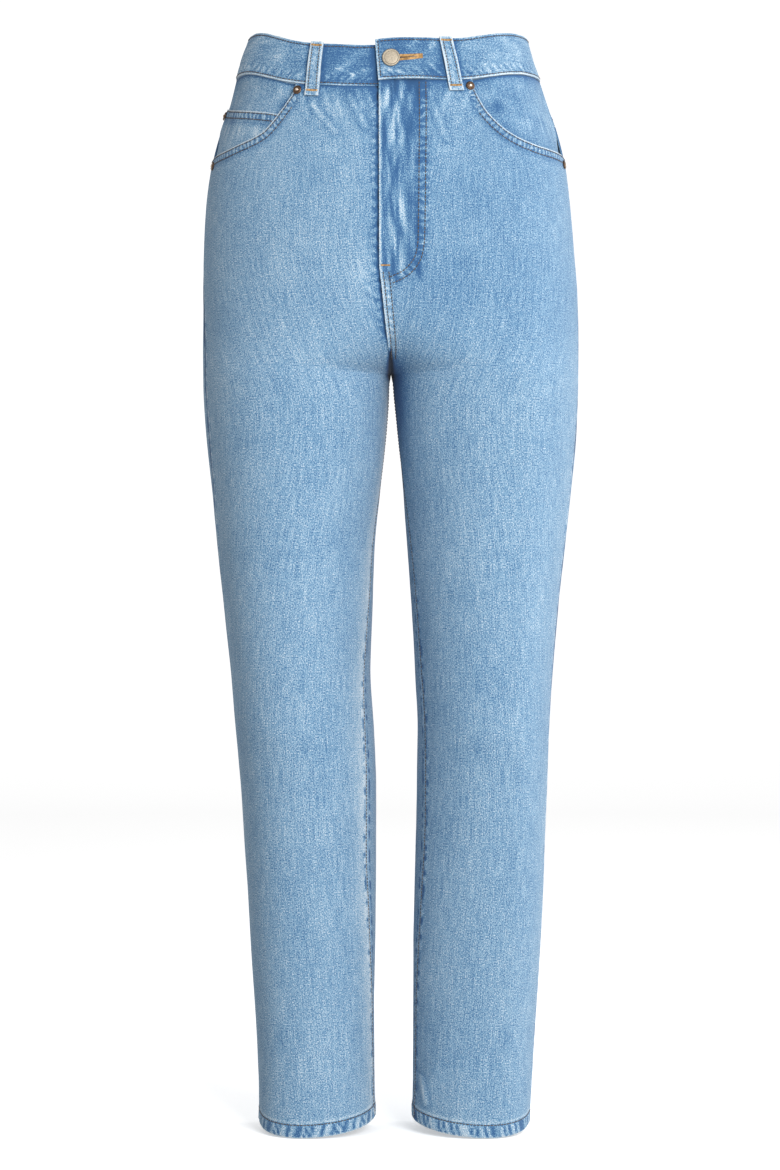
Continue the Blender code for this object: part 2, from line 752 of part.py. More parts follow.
def band_point(turn, v):
    """The waistband's outer surface and its outward normals, at a turn round the waist and v down from the
    top edge."""
    turn, v = np.broadcast_arrays(np.asarray(turn, float), np.asarray(v, float))

    def base(t, w):
        left, angle = band_angle(t)
        z = waist_seam(t) + BAND_HEIGHT * (1 - w)
        halves = [placed(side, level_point(side, z, angle)) for side in ("left", "right")]
        return np.where(left[..., None], *halves)

    step = 0.004
    across = base(turn + step, v) - base(turn - step, v)
    down = base(turn, v + step) - base(turn, v - step)
    normal = np.cross(down, across)
    normal /= np.linalg.norm(normal, axis=-1, keepdims=True)
    return base(turn, v) + normal * band_offset(turn)[..., None], normal


def overlap_turn(x):
    """The turn round the waist at a small x on the front."""
    return x / OUTLINE_AT["left_out"](-15 * MM)


def overlap_x(v):
    """The x of the waistband's lapped end, which slants, at v down from the top edge."""
    return OVERLAP_TOP_X + v * (OVERLAP_LOW_X - OVERLAP_TOP_X)


def add_cutter(name, mesh, band, cutters):
    """A hidden cutter taken out of the waistband."""
    cutter = bpy.data.objects.new(name, mesh)
    cutter.display_type = "WIRE"
    cutter.hide_render = True
    cutters.objects.link(cutter)
    cut = band.modifiers.new(name, "BOOLEAN")
    cut.operation = "DIFFERENCE"
    cut.solver = "EXACT"
    cut.object = cutter
    return cutter


def band_turns():
    """The turns of the waistband's columns: one at each column of the pieces sewn to it."""
    first = overlap_turn(OVERLAP_LOW_X)
    turns = [2 * math.pi + overlap_turn(UNDERLAP_X), *np.radians((12, 18, 24, 338, 343, 349, 354, 360, 366))]
    for side in SIGN:
        turns += list(front_seam_turn(side, np.concatenate([front_shares(side), facing_shares(side)])))
        turns += list(back_seam_turn(side, BACK_SHARES))
    kept = [first]
    for turn in sorted(turns):
        if turn - kept[-1] > LEAST_TURN:
            kept.append(turn)
    return np.array(kept)


def build_waistband(collection, cutters, finish):
    """The waistband: one doubled strip round the waist, its left end lapped over its right end and slit for
    the button."""
    turn, v = grid(band_turns(), (0, 0.5, 1))
    turn[:, 0] = overlap_turn(overlap_x(v[:, 0]))
    outer, normal = band_point(turn, v)
    inner = outer - normal * BAND_THICK
    band = object_of("waistband", wall_mesh("waistband", outer, inner), collection, finish)
    proud = 1.0 * MM
    through = BAND_THICK + 0.5 * MM
    bm = bmesh.new()
    bmesh.ops.create_cone(bm, cap_ends=True, segments=20, radius1=EYE_R, radius2=EYE_R, depth=proud + through)
    mesh = bpy.data.meshes.new("cut_eye")
    bm.to_mesh(mesh)
    bm.free()
    place, out = button_place()
    eye = add_cutter("cut_eye", mesh, band, cutters)
    eye.matrix_world = frame_on(place + out * (proud - through) / 2, out)
    half = SLIT_WIDTH / BAND_HEIGHT / 2
    turn, v = grid(np.linspace(0, overlap_turn(SLIT_END_X), 7), (BUTTON_DOWN - half, BUTTON_DOWN + half))
    outer, normal = band_point(turn, v)
    slit = wall_mesh("cut_slit", outer + normal * proud, outer - normal * through)
    add_cutter("cut_slit", slit, band, cutters)


def frame_on(place, out):
    """A matrix at a place whose z axis points out and whose x axis runs to the wearer's left."""
    z = Vector(out).normalized()
    x = Vector((1, 0, 0))
    x = (x - z * x.dot(z)).normalized()
    y = z.cross(x)
    made = Matrix((x, y, z)).transposed().to_4x4()
    made.translation = Vector(place)
    return made


def button_place():
    """The middle of the button's seat on the overlap's outer face, and its outward direction."""
    point, normal = band_point(np.array([0.0]), np.array([BUTTON_DOWN]))
    return point[0], normal[0]


def turned_object(name, profile, segments, place, out, collection, finish):
    """A solid turned about its own z axis from a profile of radius and height that starts and ends on it."""
    curve = bpy.data.meshes.new(name)
    points = [(r, 0, z) for r, z in profile]
    curve.from_pydata(points, [(k, k + 1) for k in range(len(points) - 1)], [])
    shape = bpy.data.objects.new(name + "_profile", curve)
    collection.objects.link(shape)
    screw = shape.modifiers.new("turn", "SCREW")
    screw.steps = segments
    screw.render_steps = segments
    screw.use_merge_vertices = True
    screw.merge_threshold = 0.00001
    bpy.context.view_layer.update()
    made = bpy.data.meshes.new_from_object(shape.evaluated_get(bpy.context.evaluated_depsgraph_get()))
    bpy.data.objects.remove(shape)
    bm = bmesh.new()
    bm.from_mesh(made)
    bmesh.ops.remove_doubles(bm, verts=bm.verts, dist=0.00001)
    bmesh.ops.recalc_face_normals(bm, faces=bm.faces)
    bm.to_mesh(made)
    bm.free()
    solid = object_of(name, made, collection, finish)
    solid.matrix_world = frame_on(place, out)
    return solid


def build_button(collection, metal):
    """The tack button: its cap and shank in front, and the tack's head inside the underlap."""
    place, out = button_place()
    lap = OVERLAP_LIFT + UNDERLAP_DROP
    foot = -lap + SEAM_GAP
    under = 0.5 * MM
    cap = [
        (0, foot),
        (SHANK_R, foot),
        (SHANK_R, under),
        (BUTTON_R - 0.5 * MM, under),
        (BUTTON_R, under + 0.5 * MM),
        (BUTTON_R - 0.1 * MM, under + 1.2 * MM),
        (BUTTON_R - 0.8 * MM, under + 1.8 * MM),
        (BUTTON_R - 1.6 * MM, under + 1.6 * MM),
        (BUTTON_R - 4.0 * MM, under + 1.75 * MM),
        (0, under + 1.85 * MM),
    ]
    turned_object("button", cap[::-1], 36, place, out, collection, metal)
    back = -lap - BAND_THICK - SEAM_GAP
    tack = [
        (0, back),
        (TACK_R, back - 0.1 * MM),
        (TACK_R - 0.4 * MM, back - 0.9 * MM),
        (0, back - 1.3 * MM),
    ]
    turned_object("button_tack", tack, 20, place, out, collection, metal)


def loop_point(top, low, across, down):
    """A belt loop's outer surface and normals, across it and down from the waistband's top edge. It bows off
    the waistband and settles on the cloth below it. top and low are its turns at the waistband's edges."""
    middle = top + (low - top) * down
    pitch = 0.01
    beside = band_point(middle + pitch, 0.5)[0] - band_point(middle, 0.5)[0]
    turn = middle + across * pitch / np.linalg.norm(beside, axis=-1)
    point, normal = band_point(turn, down)
    bow = LOOP_BOW * np.sin(np.clip(down, 0, 1) * math.pi) ** 2
    settle = band_offset(turn) * ease((down - LOOP_SETTLE[0]) / (LOOP_SETTLE[1] - LOOP_SETTLE[0]))
    return point + normal * (LOOP_THICK + LOOP_GAP + bow - settle)[..., None], normal


def loop_turn(side, angle):
    """The turn round the waist at an angle of one half's level curve."""
    return math.pi / 2 + angle if side == "left" else 3 * math.pi / 2 - angle


def build_belt_loops(collection, finish):
    """The five belt loops, each from the waistband's top edge to the cloth below it."""
    ends = []
    for loop in rows_of(FRONT_LOOPS):
        side = loop["side"]
        top = angle_of_x(side, 0.0, loop["top_x"] * MM)
        low = angle_of_x(side, -BAND_HEIGHT, loop["low_x"] * MM)
        ends.append((loop["name"], loop_turn(side, top), loop_turn(side, low)))
    for loop in rows_of(BACK_LOOPS):
        turn = loop_turn(loop["side"], math.radians(loop["angle"]))
        ends.append((loop["name"], turn, turn))
    for name, top, low in ends:
        across, down = grid((-0.5, -0.17, 0.17, 0.5), LOOP_ROWS)
        outer, normal = loop_point(top, low, across * LOOP_WIDTH, down)
        object_of(name, wall_mesh(name, outer, outer - normal * LOOP_THICK), collection, finish)


def facing_offset(side, u, z):
    """How deep the pocket facing lies under the front's surface. Past the rivet it comes up to meet the
    waistband, and above the mouth's outer end it comes up to meet the outseam."""
    near_top = 1 - ease((front_seam_height(side, u) - z) / FACING_TOP_FADE)
    past_rivet = ease((u - SCOOP_AT[side][0] - FACING_TUCK) / (2 * FACING_TUCK))
    near_side = ease((u - FACING_SIDE_SHARE) / (1 - FACING_SIDE_SHARE))
    above_end = ease((z - FACING_SIDE_Z) / FACING_SIDE_FADE)
    lift = np.maximum(FACING_TOP_LIFT * near_top * past_rivet, FACING_SIDE_LIFT * near_side * above_end)
    return -FACING_DEPTH * (1 - lift)


def front_surface(side, u, z):
    """The front's outer surface at a share of the way round and a height."""
    start = front_start(side, z)
    return surface(side, z, start + u * (front_end(side, z) - start))


def build_facing(name, side, collection, finish):
    """The hip piece behind a front pocket mouth."""
    first = SCOOP_AT[side][0]
    u, v = grid(facing_shares(side), np.linspace(0, 1, 9))

    def points_at(a, b):
        top = front_seam_height(side, a)
        low = SCOOP_AT[side][1](np.maximum(a, first)) - FACING_BELOW_SCOOP
        return front_surface(side, a, top + b * (low - top))

    base = points_at(u, v)
    normal = normals_of(points_at, u, v, (first - FACING_TUCK, 1, 0, 1)) * -SIGN[side]
    outer = base + normal * facing_offset(side, u, base[..., 2])[..., None]
    outer = trim_edges(outer, right=True)
    object_of(name, wall_mesh(name, outer, outer - normal * CLOTH), collection, finish)


def coin_offset(side, u, z):
    """How far the coin pocket's outer face stands from the front's surface."""
    return facing_offset(side, u, z) + COIN_GAP + COIN_THICK


def coin_height(u, v):
    """The height at u across the right front and v down the coin pocket."""
    first, last = COIN_SHARES
    share = np.clip((u - first) / (last - first), 0, 1) ** COIN_TOP_BEND
    top = COIN_IN_Z + share * (COIN_OUT_Z - COIN_IN_Z)
    low = SCOOP_AT["right"][1](u) - COIN_BELOW_SCOOP
    return top + v * (low - top)


def build_coin_pocket(collection, finish):
    """The small pocket on the right facing, its lower part under the front panel."""
    side = "right"
    first, last = COIN_SHARES
    u, v = grid(np.linspace(first, last, 12), np.linspace(0, 1, 6))

    def points_at(a, b):
        return front_surface(side, a, coin_height(a, b))

    base = points_at(u, v)
    normal = normals_of(points_at, u, v, (first, last, 0, 1)) * -SIGN[side]
    outer = base + normal * coin_offset(side, u, base[..., 2])[..., None]
    object_of("coin_pocket", wall_mesh("coin_pocket", outer, outer - normal * COIN_THICK), collection, finish)


def pocket_place(side, p, q):
    """A back pocket's heights and angles on the body: p from -1 to 1 across, outwards, and q down."""
    half = POCKET_TOP_WIDTH / 2 + (POCKET_LOW_WIDTH - POCKET_TOP_WIDTH) / 2 * q
    drop = q * (POCKET_SIDE + POCKET_POINT * (1 - np.abs(p)))
    across = POCKET_FROM_CENTRE + POCKET_LEAN * q + p * half
    z = yoke_seam(side, np.clip(across / POCKET_REACH, 0, 1)) - POCKET_BELOW_YOKE - drop
    angles = np.empty(np.shape(z))
    for index in np.ndindex(z.shape):
        here = float(z[index])
        centre = float(centre_angle(side, np.array(here), True))
        angles[index] = arc_angle(side, here, centre, -float(across[index]))
    return z, angles


def build_back_pocket(name, side, collection, finish):
    """A five-sided patch pocket on the back panel."""
    p, q = grid(np.linspace(-1, 1, 13), np.linspace(0, 1, 9))

    def points_at(a, b):
        z, angle = pocket_place(side, a, b)
        return placed(side, level_point(side, z, angle))

    z, angle = pocket_place(side, p, q)
    normal = normals_of(points_at, p, q, (-1, 1, 0, 1)) * SIGN[side]
    raised = fold_height(side, z, angle) + PATCH_GAP + CLOTH
    outer = points_at(p, q) + normal * raised[..., None]
    object_of(name, wall_mesh(name, outer, outer - normal * CLOTH), collection, finish)


def build_fly_shield(collection, finish):
    """The strip behind the fly, sewn to the right front and lying under both."""
    x, v = grid(np.linspace(SHIELD_FROM_X, SHIELD_TO_X, 6), np.linspace(0, 1, 9))

    def points_at(a, b):
        z = SHIELD_TOP_Z + b * (SHIELD_LOW_Z - SHIELD_TOP_Z)
        turn = angle_at_x("right", z, np.abs(a)) - centre_angle("right", z)
        return surface("left", z, np.sign(a) * turn)

    across = points_at(x + 1 * MM, v) - points_at(x - 1 * MM, v)
    down = points_at(x, v + 0.01) - points_at(x, v - 0.01)
    normal = np.cross(down, across)
    normal /= np.linalg.norm(normal, axis=-1, keepdims=True)
    outer = points_at(x, v) - normal * (FLY_LIFT + CLOTH + SHIELD_GAP)
    object_of("fly_shield", wall_mesh("fly_shield", outer, outer - normal * CLOTH), collection, finish)


def rivet_profile():
    """A rivet's domed head with a small nipple, from its top to the middle of its base."""
    dome = [(RIVET_R * math.sin(a), RIVET_HEIGHT * (0.35 + 0.45 * math.cos(a)))
            for a in np.radians((12, 32, 54, 76, 90))]
    return [(0, RIVET_HEIGHT), (1.3 * MM, RIVET_HEIGHT * 0.93), *dome, (RIVET_R, 0), (0, 0)]


def build_rivets(collection, metal):
    """The five rivets at the corners of the front pockets and of the coin pocket."""
    for rivet in rows_of(RIVETS):
        side = rivet["side"]
        z = rivet["z"] * MM
        angle = angle_of_x(side, z, rivet["x"] * MM)
        here = placed(side, level_point(side, z, angle))
        beside = placed(side, level_point(side, z, angle + 0.01)) - here
        below = placed(side, level_point(side, z - 1 * MM, angle)) - here
        out = np.cross(beside, below) * -SIGN[side]
        out /= np.linalg.norm(out)
        seat = RIVET_GAP
        if rivet["on"] == "coin":
            start = centre_angle(side, z) + front_start(side, z)
            seat += float(coin_offset(side, (angle - start) / (front_end(side, z) - front_start(side, z)), z))
        turned_object(rivet["name"], rivet_profile(), 20, here + out * seat, out, collection, metal)


def main():
    for old in list(bpy.data.objects):
        bpy.data.objects.remove(old)
    jeans = bpy.data.collections.new("mom_jeans")
    cutters = bpy.data.collections.new("cutters")
    for collection in (jeans, cutters):
        bpy.context.scene.collection.children.link(collection)
    denim = material("denim", DENIM, 0.9)
    denim_light = material("denim_light", DENIM_LIGHT, 0.9)
    nickel = material("nickel", NICKEL, 0.35, 1.0)
    copper = material("copper", COPPER, 0.4, 1.0)
    for side in SIGN:
        build_panel("front_" + side, side, False, jeans, denim)
        build_panel("back_" + side, side, True, jeans, denim)
        build_yoke("yoke_" + side, side, jeans, denim)
        build_facing("pocket_facing_" + side, side, jeans, denim)
        build_back_pocket("back_pocket_" + side, side, jeans, denim_light)
    build_waistband(jeans, cutters, denim)
    build_belt_loops(jeans, denim_light)
    build_coin_pocket(jeans, denim_light)
    build_fly_shield(jeans, denim)
    build_button(jeans, nickel)
    build_rivets(jeans, copper)


main()
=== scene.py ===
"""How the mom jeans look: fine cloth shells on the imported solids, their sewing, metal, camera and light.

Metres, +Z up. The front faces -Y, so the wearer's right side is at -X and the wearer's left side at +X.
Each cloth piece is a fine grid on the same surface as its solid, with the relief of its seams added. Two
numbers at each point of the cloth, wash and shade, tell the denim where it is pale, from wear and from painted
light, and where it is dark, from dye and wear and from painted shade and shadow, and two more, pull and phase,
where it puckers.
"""
import math

import bmesh
import bpy
import numpy as np
from mathutils import Matrix, Vector
from mathutils.bvhtree import BVHTree


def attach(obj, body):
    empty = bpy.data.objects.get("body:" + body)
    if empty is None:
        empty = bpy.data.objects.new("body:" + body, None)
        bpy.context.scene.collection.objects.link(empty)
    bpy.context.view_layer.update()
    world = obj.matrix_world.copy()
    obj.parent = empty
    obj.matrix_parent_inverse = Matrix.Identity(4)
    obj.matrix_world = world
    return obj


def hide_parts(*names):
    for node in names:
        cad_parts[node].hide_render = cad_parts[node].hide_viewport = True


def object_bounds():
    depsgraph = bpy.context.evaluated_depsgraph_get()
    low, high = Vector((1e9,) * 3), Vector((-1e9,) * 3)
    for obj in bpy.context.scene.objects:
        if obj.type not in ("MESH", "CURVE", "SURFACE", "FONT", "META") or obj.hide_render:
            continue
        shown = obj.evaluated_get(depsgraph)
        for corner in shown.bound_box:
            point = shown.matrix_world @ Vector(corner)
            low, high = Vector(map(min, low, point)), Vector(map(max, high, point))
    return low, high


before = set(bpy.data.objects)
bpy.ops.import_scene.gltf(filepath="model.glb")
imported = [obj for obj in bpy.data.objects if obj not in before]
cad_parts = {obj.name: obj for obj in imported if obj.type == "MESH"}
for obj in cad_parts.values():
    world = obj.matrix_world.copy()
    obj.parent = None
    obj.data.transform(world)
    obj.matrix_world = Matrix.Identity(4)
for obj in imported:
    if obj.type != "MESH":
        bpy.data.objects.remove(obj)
CAD_BOX = [list(corner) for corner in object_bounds()]

MM = 0.001
SIGN = {"right": -1.0, "left": 1.0}
OTHER = {"right": "left", "left": "right"}

# Cloth and gaps
CLOTH = 1.2 * MM
SEAM_GAP = 0.3 * MM
PATCH_GAP = 0.6 * MM
HEM_THICK = 2.8 * MM
HEM_DEPTH = 12 * MM

# Levels
CROTCH_Z = -286 * MM
HEM_Z = -951 * MM
HEM_TILT = 0.185
HEM_SLANT = 0.04
HEM_TILT_REACH = 140 * MM
BLOCK_IN_Z = -140 * MM
BLOCK_OUT_Z = -152 * MM
CROTCH_OUT_Z = -300 * MM

# Waistband
BAND_HEIGHT = 37 * MM
BAND_THICK = 2.2 * MM
BAND_PROUD = 0.6 * MM
OVERLAP_TOP_X = -13.9 * MM
OVERLAP_LOW_X = -10.3 * MM
UNDERLAP_X = 30 * MM
OVERLAP_LIFT = 1.4 * MM
UNDERLAP_DROP = 2.3 * MM

# Fly
FLY_LIFT = 0.8 * MM
FLY_END_Z = -252 * MM
FLY_LEVEL_LEFT = 9 * MM
FLY_LEVEL_RIGHT = 6 * MM
FLY_FADE = 12 * MM
FLAT_TO_X = 32 * MM
FLAT_FADE = 21 * MM
SHIELD_FROM_X = -16 * MM
SHIELD_TO_X = 30 * MM
SHIELD_TOP_Z = -38.5 * MM
SHIELD_LOW_Z = -192 * MM
SHIELD_GAP = 0.9 * MM

# Button, buttonhole and rivets
BUTTON_R = 7.9 * MM
BUTTON_DOWN = 0.49
SHANK_R = 2.3 * MM
EYE_R = 3.0 * MM
SLIT_WIDTH = 1.4 * MM
SLIT_END_X = 23 * MM
RIVET_R = 4.0 * MM
RIVET_HEIGHT = 2.2 * MM
RIVET_GAP = 0.5 * MM
TACK_R = 4.6 * MM

# Belt loops
LOOP_WIDTH = 12.0 * MM
LOOP_THICK = 1.8 * MM
LOOP_GAP = 0.6 * MM
LOOP_BOW = 1.0 * MM
LOOP_ROWS = (-0.02, 0.12, 0.3, 0.5, 0.7, 0.88, 1.0, 1.1, 1.28)
LOOP_SETTLE = (0.98, 1.1)

# Pockets
FACING_DEPTH = 3.4 * MM
FACING_BELOW_SCOOP = 24 * MM
FACING_TUCK = 0.03
FACING_TOP_LIFT = 0.5
FACING_TOP_FADE = 14 * MM
FACING_SIDE_LIFT = 0.8
FACING_SIDE_SHARE = 0.9
FACING_SIDE_Z = -84 * MM
FACING_SIDE_FADE = 22 * MM
COIN_THICK = 1.0 * MM
COIN_GAP = 0.45 * MM
COIN_IN_Z = -59.9 * MM
COIN_OUT_Z = -44.7 * MM
COIN_TOP_BEND = 0.75
COIN_SHARES = (0.43, 0.995)
COIN_BELOW_SCOOP = 14 * MM
YOKE_CENTRE = 68 * MM
YOKE_SIDE = 40 * MM
POCKET_TOP_WIDTH = 142 * MM
POCKET_LOW_WIDTH = 126 * MM
POCKET_SIDE = 128 * MM
POCKET_POINT = 22 * MM
POCKET_FROM_CENTRE = 116 * MM
POCKET_LEAN = 7 * MM
POCKET_REACH = 226 * MM
POCKET_BELOW_YOKE = 13 * MM

# How much fuller than an ellipse the outer quarters are, and how far the legs turn out and over what length
FULLNESS = 0.03
TOE_OUT = 0.14
TOE_OUT_LENGTH = 400 * MM

# A level curve for each height. All in mm. out and in are how far each half reaches from x = 0, front and
# back are its y limits, and side_mid and inner_mid are where it is widest and where it is innermost.
OUTLINE = (
    ("z", "right_out", "left_out", "right_in", "left_in", "front", "back", "side_mid", "inner_mid"),
    (32, 122.0, 117.0, 0, 0, -80, 82, 0, 0),
    (20, 126.0, 121.5, 0, 0, -82, 84, 0, 0),
    (0, 134.0, 127.0, 0, 0, -87, 88, 0, 0),
    (-17, 138.6, 133.0, 0, 0, -90, 92, 0, 0),
    (-40, 144.5, 140.5, 0, 0, -96, 100, 1, 0),
    (-68, 154.0, 150.0, 0, 0, -102, 111, 3, -2),
    (-95, 161.0, 156.5, 0, 0, -106, 121, 5, -4),
    (-135, 166.5, 161.5, 0, 0, -110, 133, 8, -8),
    (-175, 168.5, 165.0, 0, 0, -112, 140, 10, -12),
    (-216, 169.0, 168.0, 0, 0, -112, 142, 10, -15),
    (-256, 169.5, 168.5, 0, 0, -109, 137, 9, -17),
    (-286, 169.0, 168.5, 0, 0, -106, 128, 8, -18),
    (-333, 166.5, 167.0, 2.7, 4.4, -103, 112, 6, -15),
    (-387, 161.0, 162.0, 9.5, 10.4, -101, 101, 3, -12),
    (-441, 155.7, 156.0, 14.8, 14.6, -100, 93, 0, -10),
    (-495, 149.4, 149.8, 16.6, 18.6, -99, 86, -4, -10),
    (-549, 143.2, 144.8, 18.4, 21.6, -97, 79, -8, -10),
    (-603, 138.6, 141.3, 15.2, 23.9, -92, 74, -9, -9),
    (-657, 134.0, 139.5, 13.4, 23.4, -85, 70, -8, -8),
    (-738, 128.7, 136.6, 13.6, 21.0, -74, 65, -5, -5),
    (-819, 124.0, 132.5, 14.4, 20.0, -64, 62, -1, -1),
    (-873, 120.8, 129.0, 15.0, 19.8, -58, 61, 1, 1),
    (-927, 118.6, 125.8, 14.8, 19.6, -54, 59, 2, 2),
    (-970, 118.4, 122.6, 13.6, 18.8, -52, 58, 3, 3),
)

# The hips above the crotch, as shares of how far the half reaches out. mid is where the curve is furthest
# forward or back, and reach is how far its inner quarter would run past that. Both are 0.5 at the crotch.
RISE = (
    ("z", "front_mid", "front_reach", "back_mid", "back_reach"),
    (32, 0.000, 1.000, 0.000, 1.000),
    (-30, 0.000, 1.000, 0.000, 1.000),
    (-68, 0.012, 0.985, 0.120, 0.930),
    (-135, 0.050, 0.960, 0.285, 0.805),
    (-175, 0.095, 0.940, 0.368, 0.740),
    (-216, 0.178, 0.890, 0.427, 0.655),
    (-240, 0.262, 0.800, 0.457, 0.602),
    (-256, 0.335, 0.695, 0.475, 0.568),
    (-270, 0.405, 0.590, 0.487, 0.540),
    (-280, 0.462, 0.525, 0.496, 0.514),
    (-286, 0.500, 0.500, 0.500, 0.500),
)

# How far each seam lies in front of the curve's widest or innermost point, in degrees.
SEAMS = (
    ("z", "right_outseam", "left_outseam", "right_inseam", "left_inseam"),
    (32, 0, 0, 0, 0),
    (-95, 1, 1, 0, 0),
    (-175, 4, 3, 0, 0),
    (-256, 17, 7, 0, 0),
    (-286, 20, 10, 0, 0),
    (-333, 22, 14, 2, 3),
    (-387, 20, 16, 6, 11),
    (-441, 16, 16, 13, 18),
    (-522, 8, 15, 20, 21),
    (-603, 1, 12, 27, 25),
    (-700, -3, 9, 28, 27),
    (-793, -4, 8, 21, 21),
    (-850, -4, 7, 14, 16),
    (-970, -4, 6, 6, 13),
)

# The visible edge of the fly and of the centre seam below it, and how far the right front runs under, in mm.
FLY = (
    ("z", "edge_x", "underlap"),
    (0, -10.9, 8.0),
    (-120, -10.5, 8.0),
    (-193, -10.3, 7.0),
    (-215, -8.1, 5.0),
    (-237, -5.9, 1.8),
    (-248, -4.7, 0.0),
    (-262, -2.9, 0.0),
    (-274, -1.3, 0.0),
    (-286, 0.0, 0.0),
)

# The front pocket mouth, from the waist seam to the outseam: distance from the centre and height, in mm.
SCOOP = {
    "right": (
        ("x", "z"),
        (82.5, -31.0),
        (85.6, -40.6),
        (90.8, -48.9),
        (96.9, -57.3),
        (103.8, -66.1),
        (112.9, -75.1),
        (127.6, -81.6),
        (148.4, -87.8),
        (161.1, -91.0),
    ),
    "left": (
        ("x", "z"),
        (70.8, -29.0),
        (73.2, -38.5),
        (76.7, -46.1),
        (82.4, -55.9),
        (91.9, -66.4),
        (103.7, -75.4),
        (118.1, -81.8),
        (132.9, -85.6),
        (156.0, -89.0),
    ),
}

# The height of the waistband's lower edge, in mm, at a turn round the waist, in degrees: 0 is the centre
# front on the left end, 90 the left side, 180 the centre back, and 360 the centre front on the right end.
WAIST_SEAM = (
    ("turn", "z"),
    (-8, -33.2),
    (6, -31.0),
    (20, -31.0),
    (28, -29.9),
    (38, -26.2),
    (49, -22.2),
    (60, -20.2),
    (90, -19.5),
    (135, -15.0),
    (180, -11.5),
    (225, -15.0),
    (270, -18.5),
    (291, -18.2),
    (300, -19.8),
    (311, -24.8),
    (322, -31.0),
    (334, -35.2),
    (350, -36.6),
    (375, -36.8),
)

# Broad soft folds: where each is centred, which way it runs, and its length, width and height, in mm and
# degrees. angle is that of the level curve, run is the tilt from level, and a negative height is a trough.
FOLDS = (
    ("side", "z", "angle", "run", "length", "width", "height"),
    ("right", -262, -118, 48, 90, 26, 1.2),
    ("left", -268, -120, 50, 80, 24, 1.2),
    ("right", -335, -138, 40, 120, 34, 1.6),
    ("left", -340, -136, 42, 110, 34, 1.6),
    ("right", -340, 128, 30, 150, 34, -2.4),
    ("left", -345, 126, 28, 150, 34, -2.4),
    ("right", -395, 118, 22, 140, 34, 2.0),
    ("left", -400, 122, 26, 130, 34, 2.0),
    ("right", -570, 100, 6, 110, 36, -2.6),
    ("left", -585, 96, -5, 110, 36, -2.6),
    ("right", -630, 84, -8, 100, 32, 2.2),
    ("left", -640, 88, 7, 100, 32, 2.2),
    ("right", -600, -70, 12, 100, 44, 1.5),
    ("left", -610, -84, -14, 100, 44, 1.5),
    ("left", -915, -140, 62, 75, 18, 1.6),
)

# Belt loops: x of the middle at the top and at the bottom, in mm, on the front, or the angle round the back.
FRONT_LOOPS = (
    ("name", "side", "top_x", "low_x"),
    ("belt_loop_front_right", "right", 64.4, 68.2),
    ("belt_loop_front_left", "left", 48.1, 55.8),
)
BACK_LOOPS = (
    ("name", "side", "angle"),
    ("belt_loop_back_right", "right", 34),
    ("belt_loop_back_left", "left", 34),
    ("belt_loop_centre_back", "left", 90),
)

# Rivets: distance from the centre and height, in mm, and what each is set on.
RIVETS = (
    ("name", "side", "x", "z", "on"),
    ("rivet_right_top", "right", 81.8, -39.1, "panel"),
    ("rivet_left_top", "left", 69.1, -36.0, "panel"),
    ("rivet_right_side", "right", 158.8, -98.0, "panel"),
    ("rivet_left_side", "left", 154.4, -96.5, "panel"),
    ("rivet_coin_pocket", "right", 148.2, -51.5, "coin"),
)

# Fine grids: the steps between columns and rows near an edge, and in the open cloth
EDGE_STEPS = tuple(d * MM for d in (0, 0.5, 1.2, 2.2, 3.4, 4.6, 5.8, 7.0, 8.2, 9.4, 10.8, 12.4, 14.4, 17.0))
OPEN_STEP = 3.2 * MM

# Sewing
THREAD_R = 0.50 * MM
STITCH = 3.1 * MM
STITCH_SPACE = 0.30 * MM
ROW_NEAR = 1.7 * MM
ROW_FAR = 7.4 * MM
TURNING = 8.8 * MM
BAND_TOP_ROW = 2.4 * MM
BAND_LOW_ROW = 2.0 * MM
HEM_ROW = 11.3 * MM
TACK_WIDTH = 1.9 * MM
TACK_HEIGHT = 0.7 * MM
TACK_PITCH = 0.28 * MM
TACK_DIP = 0.72
BELOW_FLY_ROWS = (2.8 * MM, 7.8 * MM)
POCKET_HEM_ROWS = (2.0 * MM, 12.5 * MM)
BAND_END_ROW = 2.4 * MM
LOOP_ROW = 2.6 * MM
LOOP_STITCH = 2.6 * MM
LOOP_TACKS = {"top": 3.4 * MM, "low": 4.6 * MM}
RIVET_RUB_AND_HIGHLIGHT = 1.1 * MM
LAPPED_FROM = 0.4

# A stitch's rings of thread: how far along it each is, and its thickness and height, as shares
THREAD_SIDES = 6
STITCH_RINGS = (
    (-0.5, 0.35, -0.7),
    (-0.38, 0.85, 0.0),
    (0.0, 1.0, 0.25),
    (0.38, 0.85, 0.0),
    (0.5, 0.35, -0.7),
)

# The fly's curved stitching: x and z of its outer row, in mm, from the waist seam to the bar tack, and how
# far inside it the second row runs.
FLY_ROW = (
    ("x", "z"),
    (30.2, -33.0),
    (30.4, -60.0),
    (30.2, -95.0),
    (30.0, -135.0),
    (29.6, -172.0),
    (27.2, -187.0),
    (20.8, -198.2),
    (12.5, -205.6),
    (1.0, -211.0),
)
FLY_ROW_IN = 5.8 * MM
FLY_TACK = {"x0": -9.0 * MM, "x1": -0.9 * MM, "z": -195.4 * MM}
